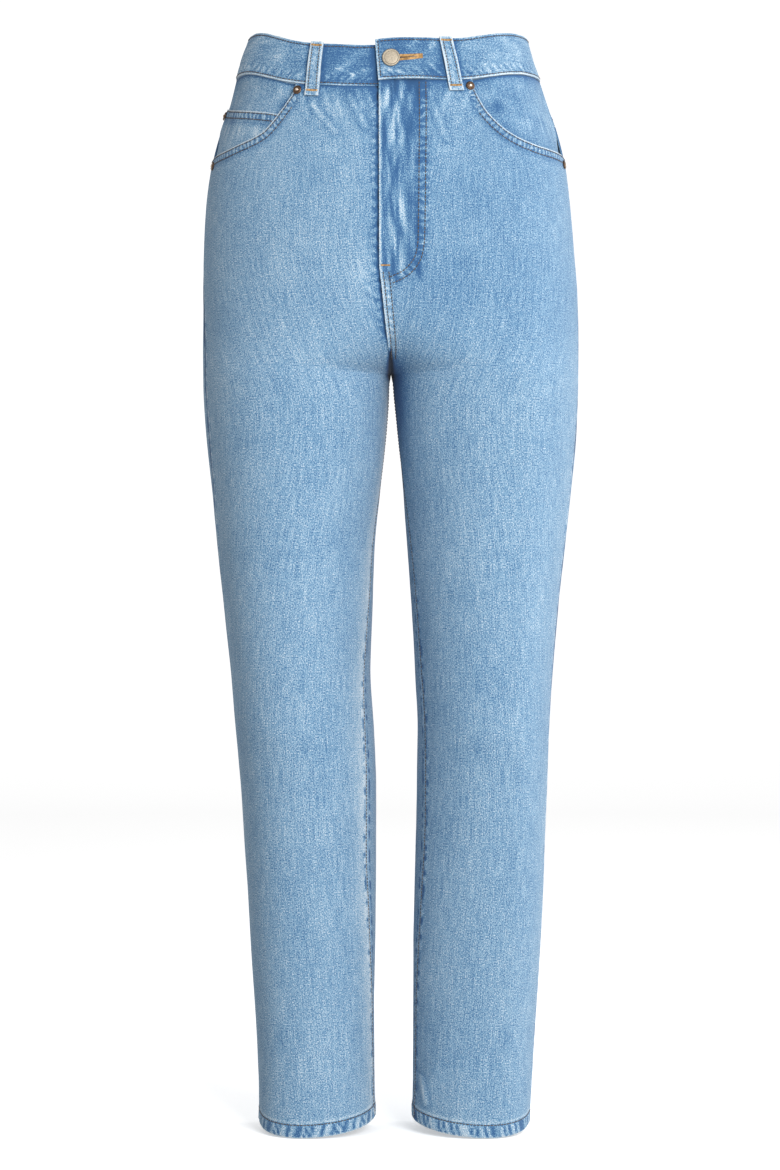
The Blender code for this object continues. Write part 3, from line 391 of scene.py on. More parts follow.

# Thin pale creases, each a straight stroke: on the waistband from x0 and z0 to x1 and z1 in mm, with z down
# from the top edge, and on the fronts from x0 and z0 to x1 and z1 in mm in the garment's frame, each raised by
# its height and with a painted shade beside it.
BAND_CREASES = (
    ("x0", "z0", "x1", "z1"),
    (-54.8, 32.0, -45.4, 22.0),
    (-45.4, 22.0, -35.8, 17.5),
    (-45.4, 22.0, -34.0, 26.5),
    (-34.0, 26.5, -22.7, 22.0),
    (-34.0, 26.5, -35.8, 36.0),
    (-6.0, 27.0, 8.7, 32.0),
    (14.0, 9.5, 21.0, 3.0),
    (21.0, 3.0, 24.5, 5.0),
    (33.6, 10.0, 37.6, 3.5),
    (33.6, 23.0, 42.0, 31.0),
)
FRONT_CREASES = (
    ("side", "x0", "z0", "x1", "z1", "height"),
    ("right", -23.4, -214.0, -9.5, -222.0, 0.5),
    ("right", -70.0, -52.0, -48.0, -78.0, 0.5),
    ("right", -36.0, -46.0, -22.0, -74.0, 0.4),
    ("left", 26.8, -912.0, 31.5, -934.0, 0.9),
    ("left", 36.0, -52.0, 48.0, -84.0, 0.4),
)

# The painted shadow of the slit between the legs just below the crotch seam, seen from the front: half its
# width.
CROTCH_SLIT_SHADOW = (
    ("z", "half"),
    (-262, 0.2),
    (-270, 1.3),
    (-278, 2.6),
    (-290, 3.0),
)
SLIT_SHADOW_TOP_Z = -264 * MM
# How the sharp change of slope is rounded where the legs leave the hips
FOLD_ROWS = 8
FOLD_MOST = 2.5 * MM
FOLD_REACH = 30 * MM
FOLD_INSET = 18 * MM

# The gap between the legs: how much further each side stands back at its top, and down to what height.
WIDENED = 1.7 * MM
WIDENED_TO_Z = -460 * MM

# Camera. PIXEL is the size that a pixel of the photograph shows at the mid-plane.
IMAGE_WIDTH = 780
IMAGE_HEIGHT = 1170
PIXEL = 0.9 * MM
CENTRE_X_PIXEL = 391
ORIGIN_Y_PIXEL = 60
CAMERA_FAR = 3.0
SENSOR = 36.0

# Stage and light, in metres and watts
STAGE_DROP = 1 * MM
STAGE_MIDDLE = 0.5
STAGE_FLAT = CAMERA_FAR + 1.2
STAGE_BEND = 1.5
STAGE_WALL = 7.0
STAGE_WHITE = (0.93, 0.93, 0.93)
STAGE_GLOW = 0.42
SKY = 0.52
LIGHTS = (
    ("name", "x", "y", "z", "width", "height", "power"),
    ("key", 1.2, -3.2, 0.6, 1.4, 2.4, 126),
    ("side", 2.6, -1.9, 0.2, 1.0, 2.2, 6),
    ("rim", 2.6, 0.9, 0.0, 1.0, 2.2, 46),
)
LIGHT_AIM = (0, 0, -0.45)

# Colours, linear
# DEEP_BLUE is the near-black that the strongest shade turns to: mostly painted shadow, such as the slit between
# the legs and the line under the fly edge
DEEP_BLUE = (0.006, 0.010, 0.022)
INDIGO = (0.034, 0.105, 0.245)
MID_BLUE = (0.095, 0.215, 0.365)
LIGHT_BLUE = (0.170, 0.312, 0.462)
PALE_BLUE = (0.300, 0.445, 0.575)
WORN_WHITE = (0.600, 0.670, 0.720)
INSIDE_BLUE = (0.260, 0.360, 0.460)
THREAD_TAN = (0.088, 0.074, 0.068)
THREAD_ORANGE = (0.420, 0.245, 0.095)
CHAMPAGNE = (0.400, 0.350, 0.275)
OLD_COPPER = (0.115, 0.072, 0.048)
# The rivet's bright middle: worn metal and a painted highlight
RIVET_TIP_AND_HIGHLIGHT = (0.820, 0.700, 0.580)
WASHED = ((0.06, INDIGO), (0.32, MID_BLUE), (0.50, LIGHT_BLUE), (0.70, PALE_BLUE), (0.98, WORN_WHITE))
INSIDE = ((0.10, MID_BLUE), (0.45, INSIDE_BLUE), (0.85, PALE_BLUE))

# Strips of wear, and of painted light and shade, along lines: how far from its line each one is, its width
# and its lift, in mm, and how much paler or darker it makes the cloth.
STRIP_COLUMNS = ("at", "width", "lift", "wash", "shade")
STRIPS = {
    "seam edge": ((0, 0.7, -0.45, 0, 0), (0, 0.6, 0, 0, 0.55), (1.3, 1.0, 0, 0.40, 0)),
    "thread row with painted shade": ((0, 0.9, -0.16, 0, 0.60),),
    "inseam": ((0, 0.7, -0.45, 0, 0), (1.7, 0.9, -0.16, 0, 0), (0, 0.8, 0, 0, 0.30), (1.0, 1.6, 0, 0.35, 0)),
    "inseam spots": ((4.4, 1.7, 0, 0, 1.50),),
    "outseam": ((0, 0.8, -0.45, 0, 0), (3.4, 1.3, 0, 0.80, 0)),
    "hem": ((0, 0.8, -0.50, 0, 0), (13.4, 1.1, 0, 0.55, 0)),
    "hem edge": ((0, 1.6, 0, 0.45, 0),),
    "pocket mouth": ((0.5, 1.1, 0, 1.40, 0), (0, 0.6, -0.35, 0, 0), (10.0, 1.6, 0, 0, 0.35)),
    "front at waistband": ((0, 2.0, 0, 0, 0.95), (0, 14, 0, 0, 0.75), (0, 0.8, -0.30, 0, 0)),
    "lumps below waistband": ((14, 12, 0.25, 0.75, 0),),
    "front crease with painted shade": ((0, 1.8, 0, 0.45, 0), (4, 2.0, 0, 0, 0.35)),
    "painted shadow under the fly edge": ((-0.9, 1.0, 0, 0, 3.40),),
    "painted shade beside the fly edge": ((0, 4, 0, 0, 0.55), (0, 14, 0, 0, 0.28)),
    "painted shade on the inner leg": ((3, 9, 0, 0, 1.60),),
    "painted light on the inner leg": ((0, 18, 0, 0.85, 0),),
    "fly edge pale": ((0.8, 1.0, 0, 1.30, 0),),
    "fly edge": ((0, 0.6, -0.30, 0, 0),),
    "fly row": ((0, 0.9, -0.18, 0, 0), (0, 1.1, 0, 0, 0.25)),
    "fly streaks": ((6, 13, 0, 1.25, 0),),
    "beside the fly rows": ((27, 7, 0, 0, 0.35),),
    "below the fly": ((5.0, 1.6, 0, 0.70, 0),),
    "centre back": ((0, 0.7, -0.40, 0, 0.50),),
    "back at yoke": ((0, 1.2, 0, 0, 0.55),),
    "yoke lap": ((0.5, 1.0, 0, 0.90, 0), (0, 0.6, -0.30, 0, 0)),
    "yoke at waistband": ((0, 1.5, 0, 0, 0.80),),
    "yoke centre": ((0, 0.7, 0, 0, 0.50),),
    "facing at waistband": ((0, 1.6, 0, 0, 0.90), (0, 5, 0, 0, 0.30)),
    "facing streaks": ((40, 14, 0, 0.55, 0),),
    "facing corner": ((0, 6, 0, 0, 1.00),),
    "shadow of the mouth": ((0, 5, 0, 0, 0.35),),
    "coin pocket mouth": ((0.5, 1.1, 0, 1.40, 0), (11, 2.2, 0, 0, 0.45)),
    "coin pocket streaks": ((19, 7, 0, 0.55, 0),),
    "back pocket edge": ((0.5, 1.0, 0, 0.90, 0), (0, 0.6, -0.40, 0, 0)),
    "waistband seam": ((0.5, 1.1, 0, 1.30, 0), (0, 0.6, -0.35, 0, 0)),
    "waistband top": ((0.4, 0.9, 0, 0.50, 0), (0, 0.6, -0.35, 0, 0)),
    "waistband end": ((0.8, 1.3, 0, 1.20, 0), (0, 0.6, -0.35, 0, 0)),
    "waistband crease": ((0, 1.2, 0, 0.85, 0), (0, 1.6, 0.25, 0, 0)),
    "painted shadow beside the lap": ((-2.2, 2.4, 0, 0, 1.20),),
    "painted shadow and wear beside a loop": ((0, 2.2, 0, 0, 0.75),),
    "loop edge": ((0.5, 0.9, 0, 1.10, 0),),
    "loop end": ((0.5, 0.9, 0, 0.70, 0), (0, 0.8, -0.20, 0, 0)),
}

# Wear: heights and widths that several pieces share, and each facing's painted shade, as wash and shade
SEAM_RIDGE = 0.32 * MM
HEM_ROPE = 7.8 * MM
TURNING_LIFT = 0.32 * MM
TURNING_FADE = 2.0 * MM
PUCKER_START = 1.6 * MM
FACING_PAINTED_SHADE = {"right": (0.0, 0.0), "left": (-0.15, 0.10)}

# Where each piece's uneven wear starts
SEEDS = {
    "front_right": 1.0,
    "front_left": 4.0,
    "back_right": 8.0,
    "back_left": 11.0,
    "yoke_right": 14.0,
    "yoke_left": 17.0,
    "pocket_facing_right": 20.0,
    "pocket_facing_left": 23.0,
    "coin_pocket": 27.0,
    "back_pocket_right": 31.0,
    "back_pocket_left": 35.0,
    "waistband": 41.0,
    "belt_loops": 50.0,
}

# Cloth grids: what is laid on each, what its mesh shows, and how they are read and smoothed
LAID_ON = ("lift", "wash", "shade", "pull", "phase")
SHOWN_ON = ("wash", "shade", "pull", "phase")
POINTS_AT_ONCE = 4000
STRAIGHTEN_FROM = 150
STRAIGHTEN_ROWS = 30
INSIDE_AWAY = 3.0
CLOTH_SHARP = math.radians(62)
METAL_SHARP = math.radians(50)
KEPT_OFF = 0.02 * MM
CORNER_STEPS = (-1.2, -0.5, 0, 0.5, 1.1, 1.9, 2.9, 4.0, 5.2, 6.5, 8.0, 9.6)
HEM_STEPS = (26, 24, 22, 20, 18.2, 16.6, 15.2, 14, 13, 12.2, 11.4, 10.6, 9.6, 8.4, 7.2, 6, 4.8, 3.6, 2.6, 1.8,
             1.1, 0.5, 0)
BAND_STEPS = tuple(d * MM for d in (0, 0.5, 1.1, 1.9, 2.8, 3.8, 5.0, 6.4, 8.0))
LOOP_STEPS = tuple(d * MM for d in (0, 0.4, 0.9, 1.5, 2.2, 3.0))

# The denim's grain: how large each layer of noise is across and down, in mm, its detail and strength, and
# whether the inside of the cloth has less of it.
GRAIN = (
    ("across", "down", "detail", "strength", "mottled"),
    (0.75, 1.25, 1, 1.60, True),
    (1.00, 26, 0, 0.30, True),
    (4.5, 9.0, 2, 0.26, True),
    (45, 90, 2, 0.10, False),
)
WASH_PALER = 0.42
SHADE_DARKER = 0.45
PULL_DARKER = 0.07
RIPPLE_COLOUR = 0.24
RIPPLE_RELIEF = 0.9
PUCKER_UNEVEN = 1.3
# The strongest shade turns towards DEEP_BLUE, for the deepest painted shadows
DEEP_RANGE = {"From Min": 1.2, "From Max": 4.0, "To Min": 0.0, "To Max": 0.94}
TWILL_TURN = math.radians(62)
TWILL_PITCH = 0.75 * MM
TWILL_RELIEF = 0.35
NODE_STEP = 200


def rows_of(table):
    """Each row of a table as a dict of its named columns."""
    names, *rows = table
    return [dict(zip(names, row)) for row in rows]


def smooth_curve(xs, ys):
    """A smooth function through the points that never overshoots them, level beyond its ends. xs rise."""
    xs = np.asarray(xs, float)
    ys = np.asarray(ys, float)
    steps = np.diff(ys) / np.diff(xs)
    before, after = steps[:-1], steps[1:]
    same_way = before * after > 0
    mean = np.where(same_way, 2 * before * after / np.where(same_way, before + after, 1.0), 0.0)
    slopes = np.concatenate([steps[:1], mean, steps[-1:]])

    def value(x):
        x = np.clip(x, xs[0], xs[-1])
        k = np.clip(np.searchsorted(xs, x) - 1, 0, len(xs) - 2)
        h = xs[k + 1] - xs[k]
        t = (x - xs[k]) / h
        rise = ys[k + 1] - ys[k]
        a = slopes[k] * h - rise
        b = rise - slopes[k + 1] * h
        return ys[k] + t * rise + t * (1 - t) * ((1 - t) * a + t * b)

    return value


def columns(table, unit=MM):
    """Each named column of a table as a smooth function of z."""
    rows = sorted(rows_of(table), key=lambda r: r["z"])
    zs = [r["z"] * MM for r in rows]
    return {n: smooth_curve(zs, [r[n] * unit for r in rows]) for n in table[0] if n != "z"}


OUTLINE_AT = columns(OUTLINE)
RISE_AT = columns(RISE, 1.0)
SEAM_AT = columns(SEAMS, math.pi / 180)
FLY_AT = columns(FLY)
SLIT_SHADOW_AT = columns(CROTCH_SLIT_SHADOW)
waist_seam = smooth_curve(
    [math.radians(r["turn"]) for r in rows_of(WAIST_SEAM)], [r["z"] * MM for r in rows_of(WAIST_SEAM)]
)


def ease(t):
    """0 below 0, 1 above 1, and a smooth step between."""
    t = np.clip(t, 0.0, 1.0)
    return t * t * (3 - 2 * t)


def quarters(side, z):
    """The numbers of the level curve at z: its reaches, and the middles of its front and back."""
    out = OUTLINE_AT[side + "_out"](z)
    inner = OUTLINE_AT[side + "_in"](z)
    above = z > CROTCH_Z
    middle = (out + inner) / 2
    turned = TOE_OUT * ease((CROTCH_Z - z) / TOE_OUT_LENGTH) * (out - inner) / 2
    front_mid = np.where(above, RISE_AT["front_mid"](z) * out, middle + turned)
    back_mid = np.where(above, RISE_AT["back_mid"](z) * out, middle - turned)
    front_reach = np.where(above, RISE_AT["front_reach"](z) * out, front_mid - inner)
    back_reach = np.where(above, RISE_AT["back_reach"](z) * out, back_mid - inner)
    return out, front_mid, front_reach, back_mid, back_reach


def level_point(side, z, angle):
    """The point of one half's level curve at an angle: 0 outermost, -90 degrees front, +90 back, 180 inner.
    Its x is measured away from the centre."""
    z = np.asarray(z, float)
    angle = (np.asarray(angle, float) + math.pi) % (2 * math.pi) - math.pi
    out, front_mid, front_reach, back_mid, back_reach = quarters(side, z)
    front = angle < 0
    outer = np.abs(angle) <= math.pi / 2
    mid = np.where(front, front_mid, back_mid)
    reach = np.where(outer, out - mid, np.where(front, front_reach, back_reach))
    limit = np.where(front, OUTLINE_AT["front"](z), OUTLINE_AT["back"](z))
    level = np.where(outer, OUTLINE_AT["side_mid"](z), OUTLINE_AT["inner_mid"](z))
    full = 1 + np.where(outer, FULLNESS, 0.0) * np.sin(2 * angle) ** 2
    x = mid + reach * np.cos(angle) * full
    y = level + (limit - level) * np.abs(np.sin(angle)) * full
    return np.stack([x, y, z + 0 * x], -1)


def centre_angle(side, z, back=False):
    """The angle at which the level curve meets x = 0 above the crotch, and its innermost point below it."""
    _, front_mid, front_reach, back_mid, back_reach = quarters(side, z)
    mid, reach = (back_mid, back_reach) if back else (front_mid, front_reach)
    angle = np.where(z > CROTCH_Z, math.pi - np.arccos(np.clip(mid / reach, -1, 1)), math.pi)
    return angle if back else -angle


def angle_at_x(side, z, x):
    """The front angle of the inner quarter at a distance from the centre."""
    _, mid, reach, _, _ = quarters(side, z)
    return -np.arccos(np.clip((x - mid) / reach, -1, 1))


def arc_angle(side, z, start, distance):
    """The angle reached by walking a distance along the level curve at one height from a start angle."""
    angles = np.radians(np.linspace(-180, 180, 721))
    points = level_point(side, np.full(len(angles), z), angles)
    lengths = np.concatenate([[0], np.cumsum(np.linalg.norm(np.diff(points, axis=0), axis=1))])
    there = np.interp(start, angles, lengths) + distance
    return np.interp(there, lengths, angles)


def angle_of_x(side, z, x):
    """The front angle at a distance from the centre, anywhere on the front of the level curve."""
    angles = np.radians(np.linspace(-180, 0, 721))
    xs = level_point(side, np.full(len(angles), z), angles)[:, 0]
    return np.interp(x, xs, angles)


def fold_height(side, z, angle):
    """The height of the broad folds at a point of one half's level curve."""
    round_it = OUTLINE_AT[side + "_out"](z) - OUTLINE_AT[side + "_in"](z)
    radius = (round_it + OUTLINE_AT["back"](z) - OUTLINE_AT["front"](z)) / 4
    total = np.zeros(np.broadcast(z, angle).shape)
    for fold in rows_of(FOLDS):
        if fold["side"] != side:
            continue
        turn = (angle - math.radians(fold["angle"]) + math.pi) % (2 * math.pi) - math.pi
        across = turn * radius
        down = z - fold["z"] * MM
        run = math.radians(fold["run"])
        along = across * math.cos(run) + down * math.sin(run)
        beside = -across * math.sin(run) + down * math.cos(run)
        shape = np.exp(-((2 * along / (fold["length"] * MM)) ** 2) - (2 * beside / (fold["width"] * MM)) ** 2)
        total = total + fold["height"] * MM * shape
    return total


def placed(side, points):
    """Own-side points in the garment's frame."""
    return points * np.array([SIGN[side], 1.0, 1.0])


def surface(side, z, turn, back=False):
    """The garment's surface at a turn from the centre seam of one half. A negative turn is past the centre,
    on the other half."""
    z = np.asarray(z, float)
    turn = np.asarray(turn, float)
    way = -1.0 if back else 1.0
    own_angle = centre_angle(side, z, back) + way * turn
    own = level_point(side, z, own_angle)
    other_angle = centre_angle(OTHER[side], z, back) - way * turn
    other = level_point(OTHER[side], z, other_angle)
    past = ((turn < 0) & (z > CROTCH_Z))[..., None]
    return np.where(past, placed(OTHER[side], other), placed(side, own))


def front_limit(side, z):
    """How near the middle plane a front panel comes above the crotch, or how far past it, on its own side."""
    edge = FLY_AT["edge_x"](z)
    return edge if side == "left" else -edge - FLY_AT["underlap"](z)


def front_start(side, z):
    """The turn at which a front panel starts: the fly edge or its underlap, and the inseam on the leg."""
    limit = front_limit(side, z)
    start = -SIGN[side] * (angle_at_x("right", z, np.abs(limit)) - centre_angle("right", z))
    return np.where(z > CROTCH_Z, start, SEAM_AT[side + "_inseam"](z))


def front_end(side, z):
    """The turn of the outseam, from the centre front."""
    return -SEAM_AT[side + "_outseam"](z) - centre_angle(side, z)


def back_start(side, z):
    """The turn at which a back panel starts: the centre back, and the inseam on the leg."""
    return np.where(z > CROTCH_Z, 0.0, -SEAM_AT[side + "_inseam"](z))


def back_end(side, z):
    """The turn of the outseam, from the centre back."""
    return centre_angle(side, z, True) + SEAM_AT[side + "_outseam"](z)


def centre_curve(side, back):
    """Heights spaced evenly along the centre seam, from the top block down to the crotch."""
    zs = np.linspace(BLOCK_IN_Z, CROTCH_Z, 400)
    points = level_point(side, zs, centre_angle(side, zs, back))
    lengths = np.concatenate([[0], np.cumsum(np.linalg.norm(np.diff(points, axis=0), axis=1))])
    shares = lengths / lengths[-1]
    return lambda share: np.interp(share, shares, zs)


CENTRE_Z = {(side, back): centre_curve(side, back) for side in SIGN for back in (False, True)}


def scoop_curve(side):
    """The height of a front panel's upper edge past the rivet, over its share of the way round."""
    shares, heights = [], []
    for row in rows_of(SCOOP[side]):
        z = row["z"] * MM
        angle = angle_of_x(side, z, row["x"] * MM)
        start = centre_angle(side, z) + front_start(side, z)
        end = centre_angle(side, z) + front_end(side, z)
        shares.append(float((angle - start) / (end - start)))
        heights.append(z)
    shares[-1] = 1.0
    return shares[0], smooth_curve(shares, heights)


SCOOP_AT = {side: scoop_curve(side) for side in SIGN}


def front_seam_turn(side, u):
    """The turn round the waist at which a share of the way round the front meets the waist seam."""
    turn = np.zeros(np.shape(u))
    for _ in range(4):
        z = waist_seam(turn) - SEAM_GAP
        start = front_start(side, z)
        own = start + u * (front_end(side, z) - start)
        turn = own if side == "left" else 2 * math.pi - own
    return turn


def front_seam_height(side, u):
    """The height of a front piece's edge along the waist seam at a share of the way round the front."""
    return waist_seam(front_seam_turn(side, u)) - SEAM_GAP


def front_top(side, u):
    """The height of a front panel's upper edge: the waist seam, and the pocket mouth past the rivet."""
    seam = front_seam_height(side, u)
    first, scoop = SCOOP_AT[side]
    return np.where(u > first, np.minimum(seam, scoop(u)), seam)


def back_seam_turn(side, u):
    """The turn round the waist at a share of the way from the centre back to the side."""
    return math.pi - SIGN[side] * u * math.pi / 2


def waist_top_of_back(side, u):
    """The height of the yoke's upper edge at a share of the way from the centre back."""
    return waist_seam(back_seam_turn(side, u)) - SEAM_GAP


def yoke_seam(side, u):
    """The height of the yoke's lower edge."""
    return waist_top_of_back(side, u) - (YOKE_CENTRE + (YOKE_SIDE - YOKE_CENTRE) * u)


def panel_height(side, back, u, v):
    """The height at u across and v down a panel: v 0 to 1 is the top block, 1 to 2 reaches the crotch, and
    2 to 3 is the leg."""
    top = yoke_seam(side, u) - SEAM_GAP if back else front_top(side, u)
    inner = np.where(v < 2, CENTRE_Z[(side, back)](v - 1), CROTCH_Z + (v - 2) * (HEM_Z - CROTCH_Z))
    outer_leg = CROTCH_OUT_Z + (v - 2) * (HEM_Z - CROTCH_OUT_Z)
    outer = np.where(v < 2, BLOCK_OUT_Z + (v - 1) * (CROTCH_OUT_Z - BLOCK_OUT_Z), outer_leg)
    level = inner + u * (outer - inner)
    low = BLOCK_IN_Z + u * (BLOCK_OUT_Z - BLOCK_IN_Z)
    return np.where(v < 1, top + v * (low - top), level)


def panel_point(side, back, u, v):
    """The outer surface of a front or back panel at u from the inner edge and v from the top."""
    u, v = np.broadcast_arrays(np.asarray(u, float), np.asarray(v, float))
    z = panel_height(side, back, u, v)
    start = back_start(side, z) if back else front_start(side, z)
    end = back_end(side, z) if back else front_end(side, z)
    turn = start + u * (end - start)
    point = surface(side, z, turn, back)
    middle = OUTLINE_AT["side_mid"](z)
    across = (OUTLINE_AT[side + "_out"](z) + OUTLINE_AT[side + "_in"](z)) / 2 - np.abs(point[..., 0])
    rise = HEM_TILT * (point[..., 1] - middle) + HEM_SLANT * across
    point[..., 2] += rise * ease((HEM_Z + HEM_TILT_REACH - z) / HEM_TILT_REACH)
    return point


def fly_offset(side, point):
    """How far a front panel stands out beside the fly, so that the left front laps over the right."""
    z = point[..., 2]
    edge = FLY_AT["edge_x"](z)
    shown = ease((z - CROTCH_Z) / (FLY_END_Z - CROTCH_Z))
    if side == "left":
        return FLY_LIFT * shown * (1 - ease((point[..., 0] - edge - FLY_LEVEL_LEFT) / FLY_FADE))
    return -FLY_LIFT * shown * (1 - ease((edge - point[..., 0] - FLY_LEVEL_RIGHT) / FLY_FADE))


def normals_of(points_at, us, vs, clamp):
    """Outward unit normals of points_at(u, v), from small steps that stay inside the clamp."""
    step = 0.002
    u_low, u_high, v_low, v_high = clamp
    du = points_at(np.minimum(us + step, u_high), vs) - points_at(np.maximum(us - step, u_low), vs)
    dv = points_at(us, np.minimum(vs + step, v_high)) - points_at(us, np.maximum(vs - step, v_low))
    normal = np.cross(du, dv)
    return normal / np.maximum(np.linalg.norm(normal, axis=-1, keepdims=True), 1e-12)


def keep_to_side(side, points, least):
    """Own-side points kept at least a distance from the middle plane."""
    own = points[..., 0] * SIGN[side]
    points[..., 0] = SIGN[side] * np.maximum(own, least)
    return points


def grid(us, vs):
    """Two arrays of every u and v, rows down and columns across."""
    return np.meshgrid(np.asarray(us, float), np.asarray(vs, float))


def panel_offset(side, back, u, point):
    """How far a panel's points move off the surface, for the folds and the fly."""
    z = point[..., 2]
    start = back_start(side, z) if back else front_start(side, z)
    end = back_end(side, z) if back else front_end(side, z)
    turn = start + u * (end - start)
    folds = fold_height(side, z, centre_angle(side, z, back) + (-turn if back else turn))
    if back:
        return folds
    near_fly = ease((FLAT_TO_X - point[..., 0] * SIGN[side]) / FLAT_FADE)
    return folds * (1 - near_fly * ease((z - CROTCH_Z) / FLAT_FADE)) + fly_offset(side, point)


def yoke_point(side, u, v):
    """The outer surface of a back yoke, u from the centre back and v down."""
    u, v = np.broadcast_arrays(np.asarray(u, float), np.asarray(v, float))
    top = waist_top_of_back(side, u)
    z = top + v * (yoke_seam(side, u) - top)
    return surface(side, z, u * back_end(side, z), True)


def band_angle(turn):
    """Whether a turn round the waist is on the left half, and its level-curve angle. The turn is 0 at the
    centre front and grows past the left side."""
    turn = np.asarray(turn, float) % (2 * math.pi)
    left = turn <= math.pi
    return left, np.where(left, turn - math.pi / 2, 3 * math.pi / 2 - turn)


def band_offset(turn):
    """How far the waistband stands off the body where its two ends lap."""
    lift = OVERLAP_LIFT * (1 - ease((turn - math.radians(12)) / math.radians(12)))
    drop = UNDERLAP_DROP * ease((turn - math.radians(338)) / math.radians(11))
    return BAND_PROUD + lift - drop


def band_point(turn, v):
    """The waistband's outer surface and its outward normals, at a turn round the waist and v down from the
    top edge."""
    turn, v = np.broadcast_arrays(np.asarray(turn, float), np.asarray(v, float))

    def base(t, w):
        left, angle = band_angle(t)
        z = waist_seam(t) + BAND_HEIGHT * (1 - w)
        halves = [placed(side, level_point(side, z, angle)) for side in ("left", "right")]
        return np.where(left[..., None], *halves)

    step = 0.004
    across = base(turn + step, v) - base(turn - step, v)
    down = base(turn, v + step) - base(turn, v - step)
    normal = np.cross(down, across)
    normal /= np.linalg.norm(normal, axis=-1, keepdims=True)
    return base(turn, v) + normal * band_offset(turn)[..., None], normal


def overlap_turn(x):
    """The turn round the waist at a small x on the front."""
    return x / OUTLINE_AT["left_out"](-15 * MM)


def overlap_x(v):
    """The x of the waistband's lapped end, which slants, at v down from the top edge."""
    return OVERLAP_TOP_X + v * (OVERLAP_LOW_X - OVERLAP_TOP_X)


def frame_on(place, out):
    """A matrix at a place whose z axis points out and whose x axis runs to the wearer's left."""
    z = Vector(out).normalized()
    x = Vector((1, 0, 0))
    x = (x - z * x.dot(z)).normalized()
    y = z.cross(x)
    made = Matrix((x, y, z)).transposed().to_4x4()
    made.translation = Vector(place)
    return made


def button_place():
    """The middle of the button's seat on the overlap's outer face, and its outward direction."""
    point, normal = band_point(np.array([0.0]), np.array([BUTTON_DOWN]))
    return point[0], normal[0]


def loop_point(top, low, across, down):
    """A belt loop's outer surface and normals, across it and down from the waistband's top edge. It bows off
    the waistband and settles on the cloth below it. top and low are its turns at the waistband's edges."""
    middle = top + (low - top) * down
    pitch = 0.01
    beside = band_point(middle + pitch, 0.5)[0] - band_point(middle, 0.5)[0]
    turn = middle + across * pitch / np.linalg.norm(beside, axis=-1)
    point, normal = band_point(turn, down)
    bow = LOOP_BOW * np.sin(np.clip(down, 0, 1) * math.pi) ** 2
    settle = band_offset(turn) * ease((down - LOOP_SETTLE[0]) / (LOOP_SETTLE[1] - LOOP_SETTLE[0]))
    return point + normal * (LOOP_THICK + LOOP_GAP + bow - settle)[..., None], normal


def loop_turn(side, angle):
    """The turn round the waist at an angle of one half's level curve."""
    return math.pi / 2 + angle if side == "left" else 3 * math.pi / 2 - angle


def facing_offset(side, u, z):
    """How deep the pocket facing lies under the front's surface. Past the rivet it comes up to meet the
    waistband, and above the mouth's outer end it comes up to meet the outseam."""
    near_top = 1 - ease((front_seam_height(side, u) - z) / FACING_TOP_FADE)
    past_rivet = ease((u - SCOOP_AT[side][0] - FACING_TUCK) / (2 * FACING_TUCK))
    near_side = ease((u - FACING_SIDE_SHARE) / (1 - FACING_SIDE_SHARE))
    above_end = ease((z - FACING_SIDE_Z) / FACING_SIDE_FADE)
    lift = np.maximum(FACING_TOP_LIFT * near_top * past_rivet, FACING_SIDE_LIFT * near_side * above_end)
    return -FACING_DEPTH * (1 - lift)


def front_surface(side, u, z):
    """The front's outer surface at a share of the way round and a height."""
    start = front_start(side, z)
    return surface(side, z, start + u * (front_end(side, z) - start))


def coin_offset(side, u, z):
    """How far the coin pocket's outer face stands from the front's surface."""
    return facing_offset(side, u, z) + COIN_GAP + COIN_THICK


def coin_height(u, v):
    """The height at u across the right front and v down the coin pocket."""
    first, last = COIN_SHARES
    share = np.clip((u - first) / (last - first), 0, 1) ** COIN_TOP_BEND
    top = COIN_IN_Z + share * (COIN_OUT_Z - COIN_IN_Z)
    low = SCOOP_AT["right"][1](u) - COIN_BELOW_SCOOP
    return top + v * (low - top)


def waves(place, period, seed):
    """A smooth uneven ripple from -1 to 1 along a line, about a period long each."""
    turn = 2 * math.pi * place / period
    return np.sin(turn + 1.5 * np.sin(turn / 3.7 + 2.1 * seed) + 1.1 * np.sin(turn / 1.9 + seed) + seed)


def clouds(s, t, size, seed):
    """Smooth uneven patches from about -1 to 1 over the cloth, each about the size across."""
    total = np.zeros(np.shape(s))
    for k in range(5):
        bearing = 0.7 + 1.17 * k + seed
        along = s * math.cos(bearing) + t * math.sin(bearing)
        total = total + waves(along, size * (0.8 + 0.23 * k), seed + 1.3 * k)
    return total / 2.6


def near(distance, width):
    """1 at a line and fading to 0 a width or two away from it."""
    return np.exp(-((distance / width) ** 2))


def past(place, start, fade):
    """0 up to a start, and 1 from a fade past it."""
    return ease((place - start) / fade)


def strips(cloth, name, away, share=1.0):
    """Adds the named strips to the cloth, each at its own distance from a line."""
    for row in rows_of((STRIP_COLUMNS, *STRIPS[name])):
        strip = near(away - row["at"] * MM, row["width"] * MM) * share
        cloth.lift += row["lift"] * MM * strip
        cloth.wash += row["wash"] * strip
        cloth.shade += row["shade"] * strip


def thread_grooves(cloth, away, *rows):
    """The lines that rows of stitches pull into the cloth, each with painted shade along it."""
    for row in rows:
        strips(cloth, "thread row with painted shade", away - row)


def steps_between(length, low_steps=EDGE_STEPS, high_steps=EDGE_STEPS, open_step=OPEN_STEP):
    """Shares from 0 to 1 along a length, close together near both its ends."""
    low, high = np.array(low_steps), length - np.array(high_steps)[::-1]
    count = max(2, int(round((high[0] - low[-1]) / open_step)))
    return np.concatenate([low[:-1], np.linspace(low[-1], high[0], count + 1), high[1:]]) / length


